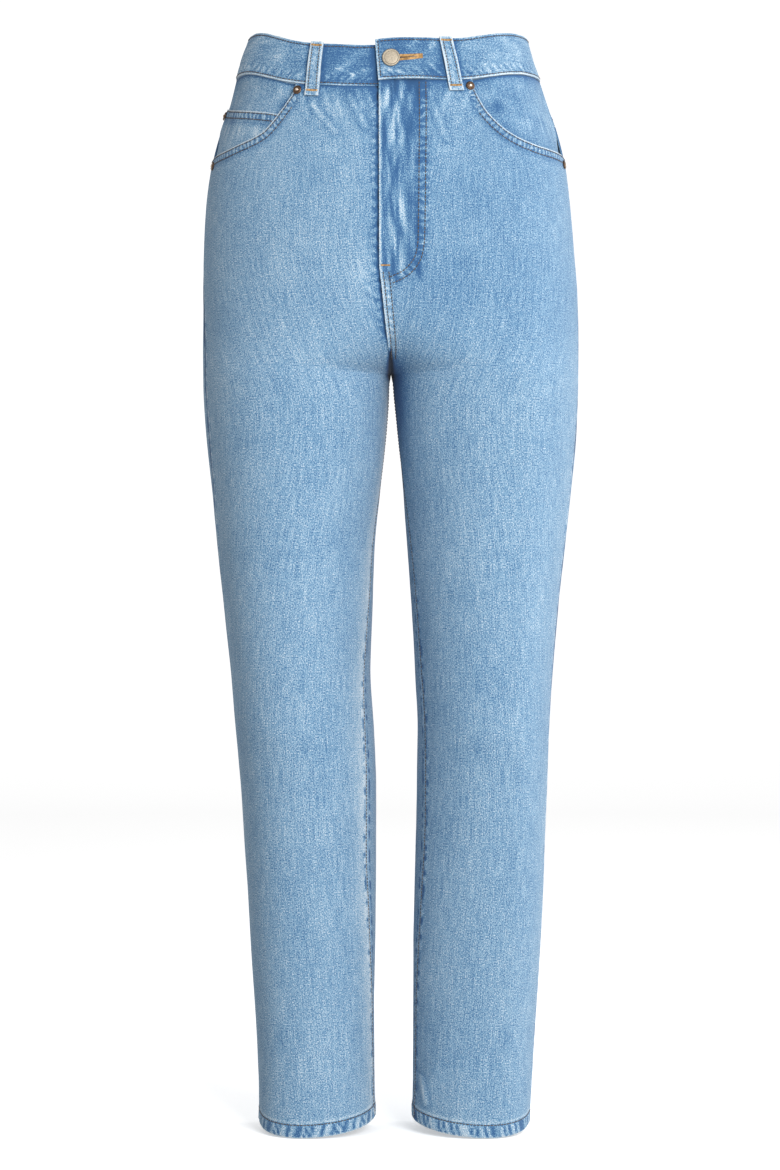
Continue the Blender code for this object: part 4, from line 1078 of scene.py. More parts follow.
def run_of(points, axis):
    """Distances along the rows (axis 1) or down the columns (axis 0) of a grid of points."""
    gaps = np.linalg.norm(np.diff(points, axis=axis), axis=-1)
    start = np.zeros_like(np.take(gaps, [0], axis=axis))
    return np.concatenate([start, np.cumsum(gaps, axis=axis)], axis=axis)


def run_along(line):
    """Distances along a line of points, from its first."""
    return np.concatenate([[0], np.cumsum(np.linalg.norm(np.diff(line, axis=0), axis=1))])


def grid_normals(points):
    """Unit normals of a fine grid of points, on the side that faces away from the garment's middle."""
    normal = np.cross(np.gradient(points, axis=0), np.gradient(points, axis=1))
    normal = normal / np.maximum(np.linalg.norm(normal, axis=-1, keepdims=True), 1e-12)
    return normal * np.sign((normal * points * (1, 1, 0)).sum(-1).mean())


class Cloth:
    """The outer face of a cloth piece as a fine grid, with its distances to the grid's four edges.

    lift raises the face. The wash makes it paler, from wear and painted light, and shade darker, from dye, wear
    and painted shade. pull is how strongly it puckers, and phase is how many puckers lie between here and the
    seam's start. s and t are its flat coordinates."""

    def __init__(self, points, normals, u=None, v=None, grain_along=False):
        self.base, self.normals, self.u, self.v = points, normals, u, v
        across, down = run_of(points, 1), run_of(points, 0)
        self.first, self.last = across, across[:, -1:] - across
        self.top, self.low = down, down[-1:] - down
        middle = self.last[:, points.shape[1] // 2]
        if len(middle) > STRAIGHTEN_FROM:
            kernel = np.hanning(2 * STRAIGHTEN_ROWS + 1)
            padded = np.pad(middle, STRAIGHTEN_ROWS, "edge")
            middle = np.convolve(padded, kernel / kernel.sum(), "valid")
        self.s = middle[:, None] - self.last
        self.t = -points[..., 2]
        if grain_along:
            self.s, self.t = self.t, self.s
        for key in LAID_ON:
            setattr(self, key, np.zeros(points.shape[:2]))
        self.tree = None

    def face(self):
        """The finished outer face."""
        return self.base + self.normals * self.lift[..., None]

    def snap(self, points):
        """Each point moved to the finished outer face, with the face's normal there."""
        if self.tree is None:
            face = self.face()
            rows, cols = face.shape[:2]
            here = np.arange(rows * cols).reshape(rows, cols)
            quads = np.stack([here[:-1, :-1], here[1:, :-1], here[1:, 1:], here[:-1, 1:]], -1).reshape(-1, 4)
            self.tree = BVHTree.FromPolygons(face.reshape(-1, 3).tolist(), quads.tolist())
            self.quad_normals = self.normals.reshape(-1, 3)[quads[:, 0]]
        found = [self.tree.find_nearest(Vector(p)) for p in points]
        places = np.array([f[0] for f in found])
        return places, self.quad_normals[[f[2] for f in found]]

    def column_at(self, distance, edge):
        """The line at a distance from the first or last column, one point a row."""
        away = self.first if edge == "first" else self.last[:, ::-1]
        face = self.face() if edge == "first" else self.face()[:, ::-1]
        return line_across(distance, away, face)

    def row_at(self, distance, edge):
        """The line at a distance from the top or low row, one point a column."""
        away = self.top if edge == "top" else self.low[::-1]
        face = self.face() if edge == "top" else self.face()[::-1]
        return line_across(distance, away.T, face.transpose(1, 0, 2))

    def distance_to(self, line):
        """How far each grid point is from a line, and how far along the line it is."""
        flat = self.base.reshape(-1, 3)
        away = np.empty(len(flat))
        nearest = np.empty(len(flat), dtype=int)
        for low in range(0, len(flat), POINTS_AT_ONCE):
            part = slice(low, low + POINTS_AT_ONCE)
            gaps = np.linalg.norm(flat[part, None] - line[None], axis=-1)
            nearest[part] = gaps.argmin(axis=1)
            away[part] = gaps.min(axis=1)
        return away.reshape(self.lift.shape), run_along(line)[nearest].reshape(self.lift.shape)


def line_across(distance, away, face):
    """In each row of a face, the point at a distance, where away rises along the row."""
    return np.array([
        [np.interp(distance, away[r], face[r, :, k]) for k in range(3)] for r in range(len(face))
    ])


def stroke(x, z, row):
    """How far points at x and z are from a straight stroke of a table of creases."""
    x0, z0, x1, z1 = (row[key] * MM for key in ("x0", "z0", "x1", "z1"))
    run_x, run_z = x1 - x0, z1 - z0
    share = np.clip(((x - x0) * run_x + (z - z0) * run_z) / (run_x ** 2 + run_z ** 2), 0, 1)
    return np.hypot(x - x0 - share * run_x, z - z0 - share * run_z)


def gather(cloth, strip, along, period):
    """Lays fine puckers in a strip of the cloth, about a period apart along a seam."""
    stronger = strip > cloth.pull
    cloth.pull = np.where(stronger, strip, cloth.pull)
    cloth.phase = np.where(stronger, along / period, cloth.phase)


def puckers(cloth, away, along, reach, period, strength=1.0, slant=0.4):
    """A sewn turning: its raised double cloth, and the small slanting puckers between its stitches."""
    inside = 1 - past(away, reach, TURNING_FADE)
    cloth.lift += TURNING_LIFT * inside
    gather(cloth, strength * inside * ease(away / PUCKER_START), along + slant * away, period)


def soften(cloth, seed, height=0.35 * MM, fade=1.0):
    """Slight unevenness of form and of wash over open cloth."""
    broad = clouds(cloth.s, 0.5 * cloth.t, 80 * MM, seed)
    close = clouds(cloth.s, 0.45 * cloth.t, 30 * MM, seed + 5)
    cloth.lift += height * (0.65 * broad + 0.35 * close) * fade
    cloth.wash += 0.05 * close + 0.05 * broad


def shell(name, outer, inner, flip=False):
    """A closed mesh between an outer and an inner grid of points: the outer faces come first, then the inner
    faces and the rim. flip turns the outer faces over."""
    rows, cols = outer.shape[:2]
    count = rows * cols
    here = np.arange(count).reshape(rows, cols)
    front = np.stack([here[:-1, :-1], here[:-1, 1:], here[1:, 1:], here[1:, :-1]], -1).reshape(-1, 4)
    if flip:
        front = front[:, ::-1]
    ring = np.concatenate([here[0], here[1:, -1], here[-1, -2::-1], here[-2:0:-1, 0]])
    after = np.roll(ring, -1)
    rim = np.stack([ring, after, after + count, ring + count], -1)
    verts = np.concatenate([outer.reshape(-1, 3), inner.reshape(-1, 3)])
    mesh = bpy.data.meshes.new(name)
    mesh.from_pydata(verts.tolist(), [], np.concatenate([front, front[:, ::-1] + count, rim]).tolist())
    bm = bmesh.new()
    bm.from_mesh(mesh)
    bmesh.ops.recalc_face_normals(bm, faces=bm.faces)
    bm.to_mesh(mesh)
    bm.free()
    return mesh


def cloth_mesh(name, cloth, thick, outside, inside):
    """A closed shell from a cloth's finished face and its inner face, with its cloth and wear coordinates."""
    outer = cloth.face()
    rows, cols = outer.shape[:2]
    inner = cloth.base - cloth.normals * np.broadcast_to(thick, (rows, cols))[..., None]
    corner = np.cross(outer[1, 1] - outer[1, 0], outer[1, 0] - outer[0, 0])
    mesh = shell(name, outer, inner, flip=np.dot(corner, cloth.normals[0, 0]) > 0)
    mesh.materials.append(outside)
    mesh.materials.append(inside)
    count, faces = rows * cols, (rows - 1) * (cols - 1)
    slots = np.zeros(len(mesh.polygons), dtype=np.int32)
    slots[faces:2 * faces] = 1
    mesh.polygons.foreach_set("material_index", slots)
    loops = np.empty(len(mesh.loops), dtype=np.int32)
    mesh.loops.foreach_get("vertex_index", loops)
    places = np.stack([cloth.s.ravel(), cloth.t.ravel()], -1)
    places = np.concatenate([places, places + INSIDE_AWAY])
    mesh.uv_layers.new(name="cloth").data.foreach_set("uv", places[loops].ravel())
    for key in SHOWN_ON:
        both = np.concatenate([getattr(cloth, key).ravel(), np.zeros(count)])
        mesh.attributes.new(key, "FLOAT", "POINT").data.foreach_set("value", both)
    mesh.shade_smooth()
    mesh.set_sharp_from_angle(angle=CLOTH_SHARP)
    return mesh


def show(name, mesh, *nodes, slot=None):
    """Puts a mesh in the scene in place of the named nodes."""
    made = bpy.data.objects.new(name, mesh)
    bpy.context.scene.collection.objects.link(made)
    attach(made, "root")
    if nodes:
        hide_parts(*nodes)
    return made


def cloth_piece(node, cloth, thick, finishes, slot="denim", cut=None):
    mesh = cloth_mesh(node + "_cloth", cloth, thick, finishes["denim"], finishes["inside"])
    piece = show(node + "_cloth", mesh, node, slot=slot)
    if cut:
        cut(piece)
    width, length = float(np.ptp(cloth.s)), float(np.ptp(cloth.t))
    down, across = np.diff(cloth.base, axis=0)[:, :-1], np.diff(cloth.base, axis=1)[:-1]
    area = float(np.linalg.norm(np.cross(down, across), axis=-1).sum())
    if area > width * length:
        length *= area / (width * length) * 1.01


def add_node(tree, kind, **values):
    """A shader node with its settings and the defaults of its named inputs, to the right of the others."""
    node = tree.nodes.new(kind)
    node.location = (NODE_STEP * len(tree.nodes), 0)
    for key, value in values.items():
        if key in node.inputs:
            node.inputs[key].default_value = value
        else:
            setattr(node, key, value)
    return node


def new_material(name, **values):
    """A material, with its node tree and its shader, whose inputs have the values named."""
    made = bpy.data.materials.new(name)
    made.use_nodes = True
    shader = made.node_tree.nodes["Principled BSDF"]
    for key, value in values.items():
        shader.inputs[key.replace("_", " ")].default_value = value
    return made, made.node_tree, shader


def math_node(tree, operation, a, b):
    """A math node whose inputs are sockets or numbers."""
    node = add_node(tree, "ShaderNodeMath", operation=operation)
    for socket, value in zip(node.inputs, (a, b)):
        if isinstance(value, (int, float)):
            socket.default_value = value
        else:
            tree.links.new(value, socket)
    return node.outputs[0]


def attribute(tree, name):
    """The value that a mesh keeps at each of its points."""
    return add_node(tree, "ShaderNodeAttribute", attribute_name=name).outputs["Fac"]


def cloth_noise(tree, uv, across, down, detail):
    """Noise over the cloth whose grains are across by down metres large, as a value about 0."""
    scaled = add_node(tree, "ShaderNodeMapping", Scale=(1 / across, 1 / down, 1))
    tree.links.new(uv, scaled.inputs["Vector"])
    noise = add_node(tree, "ShaderNodeTexNoise", noise_dimensions="2D", Scale=1.0, Detail=detail,
                     Roughness=0.55)
    tree.links.new(scaled.outputs[0], noise.inputs["Vector"])
    return math_node(tree, "SUBTRACT", noise.outputs["Fac"], 0.5)


def colour_ramp(tree, factor, stops):
    """A colour ramp through (position, colour) stops."""
    ramp = add_node(tree, "ShaderNodeValToRGB")
    band = ramp.color_ramp
    band.elements[0].position, band.elements[0].color = stops[0][0], (*stops[0][1], 1)
    band.elements[1].position, band.elements[1].color = stops[-1][0], (*stops[-1][1], 1)
    for position, colour in stops[1:-1]:
        band.elements.new(position).color = (*colour, 1)
    tree.links.new(factor, ramp.inputs["Fac"])
    return ramp.outputs["Color"]


def bump(tree, height, shader, strength, distance):
    """Roughens a shader's surface by a height."""
    made = add_node(tree, "ShaderNodeBump", Strength=strength, Distance=distance)
    tree.links.new(height, made.inputs["Height"])
    tree.links.new(made.outputs[0], shader.inputs["Normal"])


def denim(name, stops, mottle=1.0):
    """Stonewashed denim: a fine upright grain of pale and blue threads, slubs, mottling and broad clouds. It is
    paler by the cloth's wash and darker by its shade, which hold painted light and shade as well as wear, with
    its puckers, and has the twill in its bump. The strongest shade turns near-black, for the deepest painted
    shadows."""
    made, tree, shader = new_material(name, Roughness=0.88, Specular_IOR_Level=0.18, Sheen_Weight=0.12,
                                      Sheen_Roughness=0.5)
    uv = add_node(tree, "ShaderNodeUVMap", uv_map="cloth").outputs[0]
    wash, shade, pull, phase = (attribute(tree, key) for key in SHOWN_ON)
    uneven = math_node(tree, "MULTIPLY", cloth_noise(tree, uv, 9 * MM, 9 * MM, 1), PUCKER_UNEVEN)
    turn = math_node(tree, "MULTIPLY", math_node(tree, "ADD", phase, uneven), 2 * math.pi)
    ripple = math_node(tree, "MULTIPLY", math_node(tree, "SINE", turn, 0.0), pull)
    terms = []
    for row in rows_of(GRAIN):
        noise = cloth_noise(tree, uv, row["across"] * MM, row["down"] * MM, row["detail"])
        terms.append((noise, row["strength"] * (mottle if row["mottled"] else 1)))
    terms += [(wash, WASH_PALER), (shade, -SHADE_DARKER), (ripple, RIPPLE_COLOUR), (pull, -PULL_DARKER)]
    level = 0.5
    for value, strength in terms:
        level = math_node(tree, "ADD", math_node(tree, "MULTIPLY", value, strength), level)
    deep = add_node(tree, "ShaderNodeMapRange")
    for socket, value in DEEP_RANGE.items():
        deep.inputs[socket].default_value = value
    tree.links.new(shade, deep.inputs["Value"])
    dark = add_node(tree, "ShaderNodeMix", data_type="RGBA", blend_type="MIX")
    tree.links.new(deep.outputs["Result"], dark.inputs["Factor"])
    tree.links.new(colour_ramp(tree, level, stops), dark.inputs["A"])
    dark.inputs["B"].default_value = (*DEEP_BLUE, 1)
    tree.links.new(dark.outputs["Result"], shader.inputs["Base Color"])
    twill = add_node(tree, "ShaderNodeMapping", Rotation=(0, 0, TWILL_TURN))
    tree.links.new(uv, twill.inputs["Vector"])
    lines = add_node(tree, "ShaderNodeTexWave", wave_type="BANDS", bands_direction="X", Distortion=0.8,
                     Detail=1.0, Scale=2 * math.pi / (20 * TWILL_PITCH))
    tree.links.new(twill.outputs[0], lines.inputs["Vector"])
    relief = math_node(tree, "MULTIPLY", lines.outputs["Fac"], TWILL_RELIEF)
    relief = math_node(tree, "ADD", relief, cloth_noise(tree, uv, 0.8 * MM, 1.5 * MM, 2))
    relief = math_node(tree, "ADD", relief, math_node(tree, "MULTIPLY", ripple, RIPPLE_RELIEF))
    bump(tree, relief, shader, 0.55, 0.30 * MM)
    return made


def spotted(tree, scale, detail):
    """Fine noise over an object's own space."""
    place = add_node(tree, "ShaderNodeTexCoord").outputs["Object"]
    noise = add_node(tree, "ShaderNodeTexNoise", Scale=scale, Detail=detail)
    tree.links.new(place, noise.inputs["Vector"])
    return noise.outputs["Fac"]


def thread_finish(name, colour):
    """Cotton thread, darker and paler along its length."""
    made, tree, shader = new_material(name, Roughness=0.75, Specular_IOR_Level=0.25)
    noise = spotted(tree, 420.0, 2.0)
    dark = tuple(0.55 * c for c in colour)
    pale = tuple(min(1.0, 1.5 * c + 0.04) for c in colour)
    ramp = colour_ramp(tree, noise, ((0.3, dark), (0.5, colour), (0.72, pale)))
    tree.links.new(ramp, shader.inputs["Base Color"])
    bump(tree, noise, shader, 0.5, 0.1 * MM)
    return made


def metal_finish(name, colour, tip, roughness, rubbed_and_highlit=False):
    """Aged metal, mottled. Its middle can be brighter, from wear and from a painted highlight."""
    made, tree, shader = new_material(name, Metallic=1.0)
    noise = spotted(tree, 900.0, 3.0)
    worn = math_node(tree, "MULTIPLY", noise, 0.5)
    if rubbed_and_highlit:
        worn = math_node(tree, "ADD", worn, attribute(tree, "rub_and_highlight"))
    ramp = colour_ramp(tree, worn, ((0.15, tuple(0.6 * c for c in colour)), (0.35, colour), (0.95, tip)))
    tree.links.new(ramp, shader.inputs["Base Color"])
    rough = math_node(tree, "MULTIPLY_ADD", noise, 0.25)
    rough.node.inputs[2].default_value = roughness - 0.12
    tree.links.new(rough, shader.inputs["Roughness"])
    bump(tree, noise, shader, 0.25, 0.08 * MM)
    return made


def make_camera():
    """The camera at the photograph's height and distance, looking level at the front."""
    data = bpy.data.cameras.new("camera")
    data.sensor_width = SENSOR
    data.sensor_fit = "AUTO"
    data.lens = SENSOR * CAMERA_FAR / (IMAGE_HEIGHT * PIXEL)
    made = bpy.data.objects.new("camera", data)
    x = (IMAGE_WIDTH / 2 - CENTRE_X_PIXEL) * PIXEL
    z = (ORIGIN_Y_PIXEL - IMAGE_HEIGHT / 2) * PIXEL
    made.location = (x, -CAMERA_FAR, z)
    made.rotation_euler = (math.pi / 2, 0, 0)
    bpy.context.scene.collection.objects.link(made)
    bpy.context.scene.camera = made


def make_lights():
    """Soft rectangular lights that face the garment, from the front and from the wearer's left."""
    for row in rows_of(LIGHTS):
        data = bpy.data.lights.new(row["name"], "AREA")
        data.shape = "RECTANGLE"
        data.size, data.size_y = row["width"], row["height"]
        data.energy = row["power"]
        made = bpy.data.objects.new(row["name"], data)
        made.location = (row["x"], row["y"], row["z"])
        made.rotation_euler = (Vector(LIGHT_AIM) - made.location).to_track_quat("-Z", "Y").to_euler()
        made.visible_camera = False
        bpy.context.scene.collection.objects.link(made)


def make_stage():
    """A round pale floor that curves up into a wall beyond the camera on every side, and the pale world."""
    floor_z = CAD_BOX[0][2] - STAGE_DROP
    bend = [(STAGE_FLAT + STAGE_BEND * math.sin(a), STAGE_BEND * (1 - math.cos(a)))
            for a in np.radians(np.arange(9, 91, 9))]
    profile = [(STAGE_MIDDLE, 0.0), (STAGE_FLAT, 0.0)] + bend + [(STAGE_FLAT + STAGE_BEND, STAGE_WALL)]
    around = np.radians(np.arange(0, 360, 5))
    verts = [(r * math.cos(a), r * math.sin(a), floor_z + h) for r, h in profile for a in around]
    faces = [tuple(range(len(around)))]
    for ring in range(len(profile) - 1):
        for k in range(len(around)):
            here, after = ring * len(around) + k, ring * len(around) + (k + 1) % len(around)
            faces.append((here, here + len(around), after + len(around), after))
    mesh = bpy.data.meshes.new("stage")
    mesh.from_pydata(verts, [], faces)
    finish, _, _ = new_material(
        "stage_white",
        Base_Color=(*STAGE_WHITE, 1),
        Emission_Color=(1, 1, 1, 1),
        Emission_Strength=STAGE_GLOW,
        Roughness=0.95,
        Specular_IOR_Level=0.0,
    )
    mesh.materials.append(finish)
    mesh.shade_smooth()
    floor = bpy.data.objects.new("stage", mesh)
    bpy.context.scene.collection.objects.link(floor)
    floor.visible_diffuse = False
    world = bpy.data.worlds.new("studio")
    bpy.context.scene.world = world
    world.use_nodes = True
    sky = world.node_tree.nodes["Background"]
    sky.inputs["Color"].default_value = (1, 1, 1, 1)
    sky.inputs["Strength"].default_value = SKY
    view = bpy.context.scene.view_settings
    view.view_transform = "Standard"
    view.look = "None"
    view.exposure = 0.0


def panel_cloth(side, back):
    """A long panel's fine grid on its solid's surface."""
    first = SCOOP_AT[side][0]
    shares = steps_between(205 * MM)
    if not back:
        corner = first + np.array(CORNER_STEPS) * MM / (245 * MM)
        shares = shares[(shares < corner[0]) | (shares > corner[-1])]
        shares = np.sort(np.concatenate([shares, corner]))
    edge = np.array(EDGE_STEPS) / (100 * MM)
    leg = CROTCH_Z - HEM_Z
    hem = 3 - np.array(HEM_STEPS) * MM / leg
    rows = np.concatenate([
        edge[:-1],
        np.linspace(edge[-1], 1, 28),
        np.linspace(1, 2, 52)[1:],
        np.linspace(2, hem[0], int((hem[0] - 2) * leg / OPEN_STEP))[1:],
        hem[1:],
    ])
    u, v = grid(shares, rows)

    def points_at(a, b):
        """The panel's surface at a across and b down."""
        return panel_point(side, back, a, b)

    points = points_at(u, v)
    normals = normals_of(points_at, u, v, (0, 1, 0, 3)) * (SIGN[side] if back else -SIGN[side])
    points = points + normals * panel_offset(side, back, u, points)[..., None]
    least = 0.0 if back else np.where(points[..., 2] > CROTCH_Z, front_limit(side, points[..., 2]), 0.0)
    points = keep_to_side(side, points, least + KEPT_OFF)
    if back:
        points, normals = meet_at_middle(side, points, normals)
    points[..., 0] += widening(points)
    return Cloth(*round_fold(points, normals), u, v)


def meet_at_middle(side, points, normals):
    """A back piece's points and normals, with its first edge drawn over to the seam in the middle."""
    own = points[..., 0] * SIGN[side]
    gap = np.maximum(own[:, :1] - KEPT_OFF, 0)
    above = past(points[..., 2], CROTCH_Z + 2 * MM, 6 * MM) * (gap < 0.8 * MM)
    points[..., 0] -= SIGN[side] * gap * near(own - own[:, :1], 1.5 * MM) * above
    normals[..., 0] *= 1 - near(own - own[:, :1], 2.5 * MM) * above
    return points, normals / np.linalg.norm(normals, axis=-1, keepdims=True)


def widening(points):
    """How far the inner sides of the legs stand further apart just below the crotch."""
    x, z = points[..., 0], points[..., 2]
    deep = past(-z, -CROTCH_Z, 9 * MM) * past(z, WIDENED_TO_Z, 110 * MM)
    return WIDENED * np.sign(x) * deep * near(x, 10 * MM)


def round_fold(points, normals):
    """The grid with its sharp change of slope rounded, where the legs leave the hips."""
    kernel = np.hanning(2 * FOLD_ROWS + 1)
    kernel = kernel / kernel.sum()

    def eased(values):
        """The values averaged down the rows."""
        padded = np.pad(values, ((FOLD_ROWS, FOLD_ROWS), (0, 0), (0, 0)), "edge")
        return sum(k * padded[i:i + len(values)] for i, k in enumerate(kernel))

    across = run_of(points, 1)
    share = near(points[..., 2] - CROTCH_Z, FOLD_REACH)
    share = share * ease(across / FOLD_INSET) * ease((across[:, -1:] - across) / FOLD_INSET)
    shift = eased(points) - points
    length = np.linalg.norm(shift, axis=-1)
    shift = shift * (share * np.minimum(1, FOLD_MOST / np.maximum(length, 1e-9)))[..., None]
    normals = normals + (eased(normals) - normals) * share[..., None]
    return points + shift, normals / np.linalg.norm(normals, axis=-1, keepdims=True)


def leg_wear(cloth, seed):
    """Rounds the seams of one panel's leg and edges, and puckers its inseam, outseam and hem."""
    z, first, last, low = cloth.base[..., 2], cloth.first, cloth.last, cloth.low
    on_leg = past(-z, -CROTCH_Z, 12 * MM)
    lower = 0.35 + 0.75 * past(-z, 380 * MM, 220 * MM)
    strip = past(first, 2.2 * MM, 0.8 * MM) * (1 - past(first, 5.8 * MM, 2.6 * MM))
    gather(cloth, 0.6 * strip * lower * on_leg, z + 0.4 * first, 15 * MM)
    spots = np.clip(2.4 * waves(z, 14.5 * MM, seed) - 0.7, 0, 1)
    strips(cloth, "inseam spots", first, spots * lower * on_leg)
    cloth.lift += SEAM_RIDGE * (1 - past(first, 5.5 * MM, 2.2 * MM)) * on_leg
    strips(cloth, "inseam", first, on_leg)
    strip = 1 - past(last, 6.0 * MM, 2.4 * MM)
    gather(cloth, 0.75 * strip, z + 0.4 * last, 18 * MM)
    cloth.lift += 0.35 * MM * strip
    strips(cloth, "outseam", last)
    turned = past(-z, 190 * MM, 40 * MM) * past(z, -620 * MM, 120 * MM)
    cloth.shade += (1.0 + 1.6 * turned) * near(last, (0.9 + 0.9 * turned) * MM)
    rope = waves(cloth.s + 0.35 * low, HEM_ROPE, seed + 1)
    in_hem = 1 - past(low, 9.6 * MM, 1.6 * MM)
    cloth.lift += in_hem * (0.40 * MM + 0.32 * MM * rope * ease(low / (2 * MM)))
    cloth.shade += 1.1 * in_hem * np.clip(-1.4 * rope - 0.1, 0, 1) * ease(low / (1.5 * MM))
    cloth.wash += 0.55 * in_hem * np.clip(rope, 0, 1)
    strips(cloth, "hem edge", low, in_hem)
    strips(cloth, "hem", low)
    thread_grooves(cloth, low, HEM_ROW)


def scoop_line(side):
    """The pocket mouth's edge on the front's surface, from the rivet to the outseam."""
    first, scoop = SCOOP_AT[side]
    shares = np.linspace(first, 1, 160)
    return front_surface(side, shares, scoop(shares))


def fly_line(inset):
    """One row of the fly's curved stitching on the left front's surface, inset from the outer row."""
    rows = rows_of(FLY_ROW)
    xs = np.array([r["x"] for r in rows]) * MM
    zs = np.array([r["z"] for r in rows]) * MM
    runs = np.concatenate([[0], np.cumsum(np.hypot(np.diff(xs), np.diff(zs)))])
    along = np.linspace(0, runs[-1], 90)
    x, z = smooth_curve(runs, xs)(along), smooth_curve(runs, zs)(along)
    run_x, run_z = np.gradient(x), np.gradient(z)
    size = np.hypot(run_x, run_z)
    x, z = x + inset * run_z / size, z - inset * run_x / size
    turn = angle_at_x("left", z, x) - centre_angle("left", z)
    return surface("left", z, turn)


def front_wear(cloth, side):
    """The relief and wear of a front panel, and its painted shade and light: the shadow under the fly edge,
    the slit between the legs, the inner legs and the hips.
    """
    seed = SEEDS["front_" + side]
    z, x = cloth.base[..., 2], cloth.base[..., 0]
    soften(cloth, seed, fade=past(-z, -CROTCH_Z - 50 * MM, 80 * MM))
    leg_wear(cloth, seed)
    mouth, along = cloth.distance_to(scoop_line(side))
    first = SCOOP_AT[side][0]
    beyond = np.where(cloth.u > first - 0.02, 1.0, ease(1 - (first - 0.02 - cloth.u) / 0.03))
    mouth = mouth + (1 - beyond) * 30 * MM
    puckers(cloth, mouth, along, TURNING - 1.6 * MM, 4.7 * MM, 1.0, 0.15)
    strips(cloth, "pocket mouth", mouth)
    thread_grooves(cloth, mouth, ROW_NEAR, ROW_FAR)
    at_band = 1 - past(cloth.u, first - 0.02, 0.02)
    strips(cloth, "front at waistband", cloth.top, at_band)
    lumps = np.clip(waves(cloth.s + 0.25 * cloth.top, 13 * MM, seed + 8), 0, 1)
    strips(cloth, "lumps below waistband", cloth.top, lumps * at_band)
    above = past(z, CROTCH_Z + 10 * MM, 30 * MM)
    if side == "left":
        fly_wear(cloth, above)
    else:
        from_edge = x - FLY_AT["edge_x"](z)
        gather(cloth, 0.8 * near(from_edge + 4 * MM, 2.6 * MM) * above, z, 8 * MM)
        bumps = (0.75 + 0.25 * waves(z, 9 * MM, 2.0)) * above
        # painted shadow under the lapped edge of the fly, and painted shade spreading beside it
        strips(cloth, "painted shadow under the fly edge", from_edge, bumps * above)
        strips(cloth, "painted shade beside the fly edge", from_edge, bumps)
        cloth.wash += 0.45 * near(z + 205 * MM, 26 * MM) * near(x + 26 * MM, 9 * MM)
    # painted shadow: a near-black slit between the legs just below the crotch seam
    fold = near(x + 0.4 * MM, SLIT_SHADOW_AT["half"](z)) * past(z, -291 * MM, 3 * MM)
    cloth.shade += 5.0 * fold * past(-z, -SLIT_SHADOW_TOP_Z, 6 * MM)
    if side == "left":
        # painted shade: this half a little darker from the hips up
        cloth.shade += 0.16 * past(z, -300 * MM, 80 * MM)
        # painted shade along the inner leg just below the crotch
        hollow = past(-z, 262 * MM, 30 * MM) * past(z, -400 * MM, 100 * MM)
        strips(cloth, "painted shade on the inner leg", x, hollow)
    else:
        # painted light along the inner leg below the crotch
        strips(cloth, "painted light on the inner leg", cloth.first, past(-z, 280 * MM, 30 * MM))
    for row in rows_of(FRONT_CREASES):
        if row["side"] == side:
            away = stroke(x, z, row)
            # each crease a raised pale ridge with painted shade beside it
            cloth.lift += row["height"] * MM * near(away, 2.6 * MM)
            strips(cloth, "front crease with painted shade", away)


def fly_wear(cloth, above):
    """The worn fly: its pale folded edge, bleached streaks, and the puckers between its stitch rows."""
    z, x = cloth.base[..., 2], cloth.base[..., 0]
    edge = x - FLY_AT["edge_x"](z)
    upper = past(z, -215 * MM, 20 * MM)
    strips(cloth, "fly edge pale", edge, above * (0.85 + 0.15 * waves(z, 4 * MM, 1.0)))
    strips(cloth, "fly edge", edge, above)
    row, along = cloth.distance_to(fly_line(0.0))
    inner, _ = cloth.distance_to(fly_line(FLY_ROW_IN))
    gather(cloth, near((row + inner - FLY_ROW_IN) / 2, 2.0 * MM), along, 7.5 * MM)
    strips(cloth, "fly row", row)
    strips(cloth, "fly row", inner)
    on_fly = past(edge, 1 * MM, 3 * MM) * (1 - past(x, 24 * MM, 4 * MM)) * upper
    streak = clouds(x * 7.0, z, 42 * MM, 3.3)
    strips(cloth, "fly streaks", x, np.clip(streak, 0, 1) * on_fly)
    cloth.shade += (0.42 + 0.85 * np.clip(-streak, 0, 1)) * on_fly
    cloth.lift += 0.30 * MM * clouds(x * 3.0, z, 30 * MM, 1.1) * on_fly
    cloth.lift += 0.60 * MM * (1 - past(edge, 5 * MM, 4 * MM)) * above
    strips(cloth, "beside the fly rows", x, upper * (0.7 + 0.3 * waves(z, 40 * MM, 1.5)))
    below = (1 - upper) * above
    gather(cloth, 0.8 * below * near(edge - 5.5 * MM, 2.6 * MM), z, 7 * MM)
    strips(cloth, "below the fly", edge, below)


def back_wear(cloth, side):
    """The relief and wear of a back panel, and the strip beside its outseam darkened, partly by dark puckers
    and partly by painted shade.
    """
    seed = SEEDS["back_" + side]
    z = cloth.base[..., 2]
    soften(cloth, seed)
    leg_wear(cloth, seed)
    above = past(z, CROTCH_Z, 12 * MM)
    strips(cloth, "centre back", cloth.first, above)
    if side == "left":
        strip = 1 - past(cloth.first, TURNING, TURNING_FADE)
        gather(cloth, strip * above, z + 0.5 * cloth.first, 9 * MM)
    strips(cloth, "back at yoke", cloth.top)
    spots = np.clip(1.8 * waves(z, 26 * MM, seed + 4) - 0.2, 0, 1)
    upright = past(-z, 200 * MM, 30 * MM) * past(z, -660 * MM, 100 * MM)
    # the strip beside the outseam: painted shade, with dark spots of puckers on it
    sliver = (1 - past(cloth.last, 9 * MM, 3 * MM)) * upright
    cloth.shade += (0.35 + 0.75 * spots) * sliver
    cloth.wash += 0.16 * near(z + 200 * MM, 70 * MM) * near(cloth.u - 0.45, 0.30)


